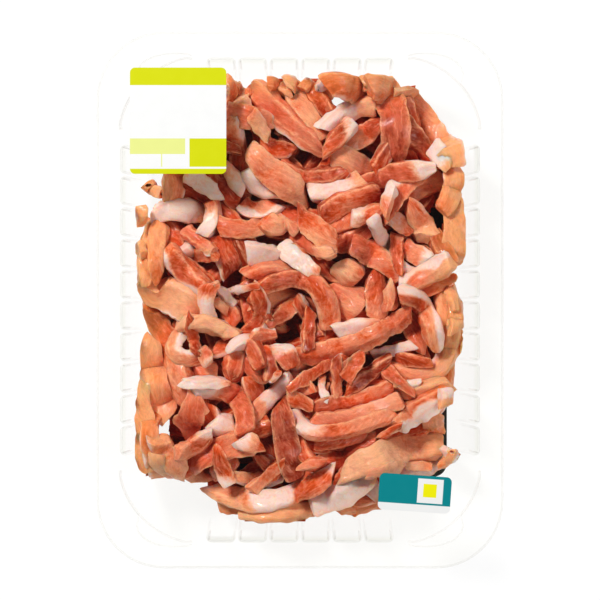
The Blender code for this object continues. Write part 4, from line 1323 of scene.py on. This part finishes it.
def shape_strip(strip, cell):
    """Bend a block into one cut strip. Returns its block, points, grain and looks."""
    draw = random.Random(strip["seed"])
    line, width, thickness = strip["line"], strip["width"], strip["thickness"]
    steps = np.linalg.norm(np.diff(line, axis=0), axis=1)
    run = np.concatenate(([0.0], np.cumsum(steps)))
    length = run[-1]
    segments = max(6, round(length / cell))
    across = max(4, round(width / cell))
    through = max(3, round(thickness / cell))
    mesh, block = strip_block(segments, across, through)
    u = (block[:, 0] + 1) / 2
    # The cut edges along the strip, paler in the material: partly membrane, partly painted rim light
    rim = np.clip((np.abs(block[:, 1]) + np.abs(block[:, 2]) - 1.5) / 0.5, 0, 1)
    s = np.sign(block[:, 1]) * (1 - (1 - np.abs(block[:, 1])) ** 1.3)
    t = np.sign(block[:, 2]) * (1 - (1 - np.abs(block[:, 2])) ** 1.3)

    # Section: how crisp its corners are, how it leans over, and its ridges above and below
    crisp = draw.uniform(7.0, 18.0)
    most = np.maximum(np.maximum(np.abs(s), np.abs(t)), 1e-6)
    norm = ((np.abs(s) / most) ** crisp + (np.abs(t) / most) ** crisp) ** (1 / crisp)
    s, t = s / norm, t / norm
    lean_over = draw.uniform(-0.3, 0.3) + draw.uniform(-0.3, 0.3) * u
    wedge = draw.uniform(-0.35, 0.35)
    s, t = s * (1 + lean_over * t), t * (1 + wedge * s)
    ridge = draw.uniform(-0.6, 0.6) + draw.uniform(-0.35, 0.35) * (u - 0.5)
    keel = draw.uniform(-0.6, 0.6)
    drop = np.where(t > 0, draw.uniform(0.15, 0.75), draw.uniform(0.0, 0.3))
    t = t * (1.12 - drop * np.abs(s - np.where(t > 0, ridge, keel)))

    # Ends that taper, and a width and thickness that wander
    at = u * length
    from_start, from_end = at, length - at
    tapers = [draw.choice((1.0, 1.0, 0.85, 0.6)), draw.choice((1.0, 0.9, 0.7, 0.4))]
    scale = np.ones(len(u))
    for near, taper in ((from_start, tapers[0]), (from_end, tapers[1])):
        close = np.clip(near / 0.9, 0, 1)
        scale *= 0.84 + 0.16 * np.sqrt(np.clip(1 - (1 - close) ** 2, 0, 1))
        fade = np.clip(near / min(0.5 * length, 9.0), 0, 1)
        scale *= taper + (1 - taper) * fade * (2 - fade)
    points = np.column_stack((at, s * width / 2, t * thickness / 2))
    scale_s = scale * (1 + 0.09 * np.sin(u * draw.uniform(3, 8) + draw.uniform(0, 6)))
    scale_t = scale * (1 + 0.09 * np.sin(u * draw.uniform(3, 8) + draw.uniform(0, 6)))

    # Slanting ends, and cut faces that are uneven
    slant = [draw.uniform(-0.7, 0.7), draw.uniform(-0.7, 0.7)]
    tip = [draw.uniform(-0.3, 0.3), draw.uniform(-0.3, 0.3)]
    ends = [np.exp(-from_start / 4), np.exp(-from_end / 4)]
    at = at + s * width / 2 * (slant[0] * ends[0] + slant[1] * ends[1])
    at = at + t * thickness / 2 * (tip[0] * ends[0] + tip[1] * ends[1])
    across_mm = s * width / 2 * scale_s + 0.26 * ripples(points, draw, 9.0) * s
    across_mm += 0.22 * ripples(points, draw, 3.6) * s
    up_mm = t * thickness / 2 * scale_t + 0.24 * ripples(points, draw, 7.0) * t
    up_mm += 0.12 * ripples(points, draw, 3.2) * t

    # Bend it along its centre line, rolled and a little twisted, and keep it clear of the tray
    ahead = np.gradient(line, axis=0)
    ahead /= np.linalg.norm(ahead, axis=1, keepdims=True)
    before = line[:1] - ahead[:1] * 6
    after = line[-1:] + ahead[-1:] * 6
    knots = np.concatenate(([-6.0], run, [length + 6.0]))
    spine = np.concatenate((before, line, after))
    heading = np.concatenate((ahead[:1], ahead, ahead[-1:]))
    middle = np.column_stack([np.interp(at, knots, spine[:, axis]) for axis in range(3)])
    front = np.column_stack([np.interp(at, knots, heading[:, axis]) for axis in range(3)])
    front /= np.linalg.norm(front, axis=1, keepdims=True)
    side = np.cross(np.array([0.0, 0.0, 1.0]), front)
    side /= np.linalg.norm(side, axis=1, keepdims=True)
    above = np.cross(front, side)
    twist = strip["roll"] + draw.uniform(-0.22, 0.22) + draw.uniform(-0.5, 0.5) * (u - 0.5)
    cos, sin = np.cos(twist)[:, None], np.sin(twist)[:, None]
    turned_side = cos * side + sin * above
    turned_above = cos * above - sin * side
    spots = middle + turned_side * across_mm[:, None] + turned_above * up_mm[:, None]
    spots[:, 2] = np.maximum(
        spots[:, 2], floor_heights(spots[:, 0], spots[:, 1], margin=0.2) + 0.05)
    spots[:, 0], spots[:, 1] = keep_inside(spots[:, 0], spots[:, 1], spots[:, 2], -0.3)

    # Grain and looks
    grain_turn = draw.uniform(-0.45, 0.45)
    offset = [draw.uniform(0, 400) for _ in range(3)]
    grain = np.column_stack((
        points[:, 0] * math.cos(grain_turn) - points[:, 1] * math.sin(grain_turn) + offset[0],
        points[:, 0] * math.sin(grain_turn) + points[:, 1] * math.cos(grain_turn) + offset[1],
        points[:, 2] + offset[2]))
    fatness = fat_share(strip["look"], u, s, length, draw)
    tone = draw.uniform(*TONES[strip["look"]])
    tone = tone + 0.24 * np.sin(u * draw.uniform(2, 5) + draw.uniform(0, 6))
    tone = tone + draw.uniform(-0.16, 0.16) * s
    blush = np.full(len(u), draw.uniform(*BLUSHES.get(strip["look"], PLAIN_BLUSH)))
    # Painted shade: how deep in the heap each point lies
    depth = painted_shade_depth(spots)
    lit = walled(spots)
    # Painted glow beside the wall: the lean is paler and less pink where light comes through the tray
    tone, blush = tone + 0.3 * lit, blush * (1 - 0.7 * lit)
    looks = {"fatness": fatness, "tone": tone, "blush": blush, "rim": rim, "depth": depth,
             "lit": lit}
    return mesh, spots * MM, grain, looks


def store_looks(mesh, grain, looks):
    """Write a meat mesh's grain and its looks as attributes that its material reads."""
    layer = mesh.attributes.new("grain", "FLOAT_VECTOR", "POINT")
    layer.data.foreach_set("vector", grain.ravel())
    for title, values in looks.items():
        layer = mesh.attributes.new(title, "FLOAT", "POINT")
        layer.data.foreach_set("value", values)


def strips_piece(name, strips, cell, material, node):
    """Join many bent strips into one piece, with their grain and looks as attributes."""
    bm = bmesh.new()
    spots, grains, looks = [], [], []
    for strip in strips:
        block, spot, grain, look = shape_strip(strip, cell / MM)
        bm.from_mesh(block)
        spots.append(spot)
        grains.append(grain)
        looks.append(look)
    piece = new_piece(name, bm, [material], node)
    mesh = piece.data
    mesh.vertices.foreach_set("co", np.concatenate(spots).ravel())
    store_looks(mesh, np.concatenate(grains), {
        title: np.concatenate([look[title] for look in looks]) for title in looks[0]})
    mesh.shade_smooth()
    mesh.set_sharp_from_angle(angle=math.radians(42))
    mesh.update()
    return piece


def bare_height(x, y):
    """The height on which the body of the heap stands at one point."""
    return float(floor_heights(np.array(x), np.array(y), margin=2.0))


def core_piece(settings, pile):
    """The body of the heap under the strips, open where the floor shows between them."""
    bm = bmesh.new()
    bmesh.ops.create_grid(bm, x_segments=CORE_HALF_X, y_segments=CORE_HALF_Y, size=1.0)
    outside = []
    for face in bm.faces:
        x, y = face.calc_center_median().xy * Vector((CORE_HALF_X, CORE_HALF_Y))
        open_here = any(
            math.hypot(x - gap_x * FLOOR_SPREAD, y - gap_y * FLOOR_SPREAD) < radius
            for gap_x, gap_y, radius in FLOOR_GAPS)
        column, row = pile.cells(np.array(x), np.array(y))
        covered = pile.top[column - 1:column + 2, row - 1:row + 2].min()
        inner = inside_outline(x * CORE_OUTLINE, y * CORE_OUTLINE)
        if open_here or not (inner or covered > bare_height(x, y) + CORE_COVER):
            outside.append(face)
    bmesh.ops.delete(bm, geom=outside, context="FACES")
    made = bmesh.ops.extrude_face_region(bm, geom=list(bm.faces))["geom"]
    top_verts = {item for item in made if isinstance(item, bmesh.types.BMVert)}
    for vert in bm.verts:
        x, y = vert.co.x * CORE_HALF_X, vert.co.y * CORE_HALF_Y
        low = bare_height(x, y)
        height = low
        if vert in top_verts:
            column, row = pile.cells(np.array(x), np.array(y))
            patch = pile.top[max(column - 2, 0):column + 3, max(row - 2, 0):row + 3]
            height = max(float(patch.min()) - CORE_UNDER_STRIPS, low + CORE_LEAST)
        vert.co = Vector((x, y, height)) * MM
    bmesh.ops.recalc_face_normals(bm, faces=bm.faces)
    material = meat_material("pork_core", settings)
    piece = new_piece("heap_core", bm, [material], None)
    mesh = piece.data
    count = len(mesh.vertices)
    places = np.empty(count * 3)
    mesh.vertices.foreach_get("co", places)
    store_looks(mesh, places / MM, {
        "fatness": np.zeros(count), "tone": np.full(count, CORE_TONE),
        "blush": np.full(count, CORE_BLUSH), "rim": np.zeros(count),
        "depth": CORE_DEPTH * painted_shade_depth(places.reshape(-1, 3) / MM), "lit": np.zeros(count)})
    mesh.shade_smooth()
    return piece


# Operators

class PACK_OT_tray(Operator):
    """Make the clear ribbed tray"""
    bl_idname = "pack.make_tray"
    bl_label = "Tray"

    def execute(self, context):
        settings = context.scene.pack_tray
        plastic = clear_plastic(
            "clear_tray", settings.tint, settings.body,
            roughness=0.12, least=0.004, most=0.45, power=14.0)
        bends = clear_plastic(
            "clear_tray_bends", settings.tint, settings.body,
            roughness=0.12, least=0.09, most=0.26, power=2.0)
        piece = new_piece(
            "tray_shell", tray_sheet(settings), [plastic, bends], "tray")
        shell = piece.modifiers.new("sheet", "SOLIDIFY")
        shell.thickness = settings.wall
        shell.offset = 0.0
        piece.data.shade_smooth()
        piece.data.set_sharp_from_angle(angle=math.radians(50))
        return {"FINISHED"}


class PACK_OT_film(Operator):
    """Make the clear lidding film"""
    bl_idname = "pack.make_film"
    bl_label = "Film"

    def execute(self, context):
        tray, settings = context.scene.pack_tray, context.scene.pack_film
        bm = rounded_plate(
            tray.rim_width - 2 * settings.margin, tray.rim_length - 2 * settings.margin,
            tray.rim_radius - settings.margin, FILM_HIGH[2] - FILM_LOW[2], steps=16)
        put_in_box(bm, FILM_LOW, FILM_HIGH)
        film = clear_plastic(
            "clear_film", settings.tint, (0.9, 0.9, 0.9),
            roughness=0.08, least=0.002, most=0.4, power=5.0)
        new_piece("film_sheet", bm, [film], "lidding_film")
        return {"FINISHED"}


class PACK_OT_pad(Operator):
    """Make the absorbent pad with its embossed dots"""
    bl_idname = "pack.make_pad"
    bl_label = "Pad"

    def execute(self, context):
        settings = context.scene.pack_pad
        width, length = PAD_HIGH[0] - PAD_LOW[0], PAD_HIGH[1] - PAD_LOW[1]
        thickness = PAD_HIGH[2] - PAD_LOW[2]
        bm = rounded_plate(width, length, settings.radius, thickness)
        put_in_box(bm, PAD_LOW, PAD_HIGH)
        new_piece(
            "pad_sheet", bm, [fleece_material(settings)], "absorbent_pad")
        return {"FINISHED"}


class PACK_OT_core(Operator):
    """Make the body of the heap under the strips"""
    bl_idname = "pack.make_core"
    bl_label = "Heap core"

    def execute(self, context):
        piece = core_piece(context.scene.pack_meat, heap_layout()[3])
        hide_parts("pork_strips")
        return {"FINISHED"}


class PACK_OT_strips(Operator):
    """Make the pork strips, those that fill the heap and those that show"""
    bl_idname = "pack.make_strips"
    bl_label = "Strips"

    def execute(self, context):
        settings = context.scene.pack_meat
        fill, shown, small, _ = heap_layout()
        groups = {
            name: [strip for strip in shown if strip["look"] in looks]
            for name, looks in KINDS.items()}
        groups["strips_under"] = fill
        groups["strips_small"] = small
        for name, strips in groups.items():
            material = meat_material(name.replace("strips", "pork"), settings)
            cell = settings.cell * (UNDER_CELLS if name == "strips_under" else 1.0)
            strips_piece(name, strips, cell, material, "pork_strips")
        return {"FINISHED"}


class PACK_OT_label(Operator):
    """Make the label with its printed fields"""
    bl_idname = "pack.make_label"
    bl_label = "Label"

    def execute(self, context):
        settings = context.scene.pack_print
        bm = rounded_plate(
            LABEL_HIGH[0] - LABEL_LOW[0], LABEL_HIGH[1] - LABEL_LOW[1], settings.radius,
            LABEL_HIGH[2] - LABEL_LOW[2])
        put_in_box(bm, LABEL_LOW, LABEL_HIGH)
        cut_fields(bm, LABEL_X, LABEL_Y)
        rule_left, rule_right, box_end, square_start = LABEL_X
        head_band, _, fields_end, box_start, fields_start, foot_band = LABEL_Y
        for face in bm.faces:
            x, y = face.calc_center_median().xy / MM
            if y > head_band or y < foot_band:
                face.material_index = 1
            elif box_start < y < fields_end and x < box_end:
                face.material_index = 2
            elif fields_start < y < fields_end and x > square_start:
                face.material_index = 1
            elif fields_start < y < box_start and rule_left < x < rule_right:
                face.material_index = 2
        materials = [
            print_material("label_paper", settings.paper),
            print_material("label_lime", settings.lime),
            print_material("label_pale_lime", settings.pale_lime)]
        new_piece("label_sheet", bm, materials, "label")
        return {"FINISHED"}


class PACK_OT_sticker(Operator):
    """Make the sticker with its printed fields"""
    bl_idname = "pack.make_sticker"
    bl_label = "Sticker"

    def execute(self, context):
        settings = context.scene.pack_print
        bm = rounded_plate(
            STICKER_WIDTH * MM, STICKER_LENGTH * MM, settings.radius,
            STICKER_HIGH[2] - STICKER_LOW[2])
        cut_fields(bm, STICKER_X, STICKER_Y)
        frame_left, square_left, square_right, frame_right = STICKER_X
        foot_band, frame_low, square_low, square_high, frame_high = STICKER_Y
        for face in bm.faces:
            x, y = face.calc_center_median().xy / MM
            if y < foot_band:
                face.material_index = 1
            elif square_left < x < square_right and square_low < y < square_high:
                face.material_index = 2
            elif frame_left < x < frame_right and frame_low < y < frame_high:
                face.material_index = 1
        bmesh.ops.transform(
            bm, verts=bm.verts, matrix=Matrix.Rotation(settings.turn, 4, "Z"))
        put_in_box(bm, STICKER_LOW, STICKER_HIGH)
        materials = [
            print_material("sticker_teal", settings.teal),
            print_material("sticker_paper", settings.paper),
            print_material("sticker_square", settings.sun)]
        new_piece("sticker_sheet", bm, materials, "sticker")
        return {"FINISHED"}


class PACK_OT_stage(Operator):
    """Make the floor, the lights and the camera"""
    bl_idname = "pack.make_stage"
    bl_label = "Stage"

    def execute(self, context):
        settings = context.scene.pack_stage
        bm = bmesh.new()
        bmesh.ops.create_grid(bm, x_segments=1, y_segments=1, size=FLOOR_HALF)
        bmesh.ops.translate(bm, verts=bm.verts, vec=(0, 0, -FLOOR_DROP))
        mesh = bpy.data.meshes.new("floor")
        bm.to_mesh(mesh)
        bm.free()
        material, tree = new_material("studio_floor")
        shader = add_node(tree, "ShaderNodeBsdfPrincipled", {
            "Base Color": (*settings.floor_colour, 1.0), "Roughness": 0.9,
            "Specular IOR Level": 0.0, "Emission Color": (1.0, 1.0, 1.0, 1.0),
            "Emission Strength": settings.floor_glow})
        surface(tree, shader)
        mesh.materials.append(material)
        floor = bpy.data.objects.new("floor", mesh)
        context.scene.collection.objects.link(floor)

        world = bpy.data.worlds.new("studio")
        world.use_nodes = True
        backdrop = world.node_tree.nodes["Background"]
        backdrop.inputs["Color"].default_value = (1.0, 1.0, 1.0, 1.0)
        backdrop.inputs["Strength"].default_value = settings.sky
        context.scene.world = world

        for name, place, size, share in LIGHTS:
            light = bpy.data.lights.new(name, "AREA")
            light.size = size
            light.energy = settings.key_power * share
            lamp = bpy.data.objects.new(name, light)
            lamp.location = place
            aim = Vector((0, 0, 0.02)) - lamp.location
            lamp.rotation_euler = aim.to_track_quat("-Z", "Y").to_euler()
            context.scene.collection.objects.link(lamp)

        lens = bpy.data.cameras.new("camera")
        lens.lens = settings.lens
        lens.sensor_width = SENSOR_WIDTH
        lens.clip_start = 0.01
        lens.clip_end = 20.0
        camera = bpy.data.objects.new("camera", lens)
        camera.location = (0.0, 0.0, TRAY_HEIGHT * MM + settings.camera_height)
        context.scene.collection.objects.link(camera)
        context.scene.camera = camera
        context.scene.view_settings.view_transform = "Standard"
        return {"FINISHED"}


class PACK_PT_panel(Panel):
    """Lists the pieces of the pack"""
    bl_idname = "PACK_PT_panel"
    bl_label = "Meat tray pack"
    bl_space_type = "VIEW_3D"
    bl_region_type = "UI"
    bl_category = "Pack"

    def draw(self, context):
        for operator in OPERATORS:
            self.layout.operator(operator.bl_idname)


SETTINGS = (
    ("pack_tray", TraySettings), ("pack_film", FilmSettings), ("pack_pad", PadSettings),
    ("pack_meat", MeatSettings), ("pack_print", PrintSettings), ("pack_stage", StageSettings),
)
OPERATORS = (
    PACK_OT_stage, PACK_OT_tray, PACK_OT_pad, PACK_OT_core, PACK_OT_strips, PACK_OT_film,
    PACK_OT_label, PACK_OT_sticker,
)


def register():
    for name, group in SETTINGS:
        bpy.utils.register_class(group)
        setattr(bpy.types.Scene, name, PointerProperty(type=group))
    for operator in OPERATORS:
        bpy.utils.register_class(operator)
    bpy.utils.register_class(PACK_PT_panel)


def unregister():
    bpy.utils.unregister_class(PACK_PT_panel)
    for operator in reversed(OPERATORS):
        bpy.utils.unregister_class(operator)
    for name, group in reversed(SETTINGS):
        delattr(bpy.types.Scene, name)
        bpy.utils.unregister_class(group)


def main():
    register()
    bpy.ops.pack.make_stage()
    bpy.ops.pack.make_tray()
    bpy.ops.pack.make_pad()
    bpy.ops.pack.make_core()
    bpy.ops.pack.make_strips()
    bpy.ops.pack.make_film()
    bpy.ops.pack.make_label()
    bpy.ops.pack.make_sticker()


if __name__ == "__main__":
    main()
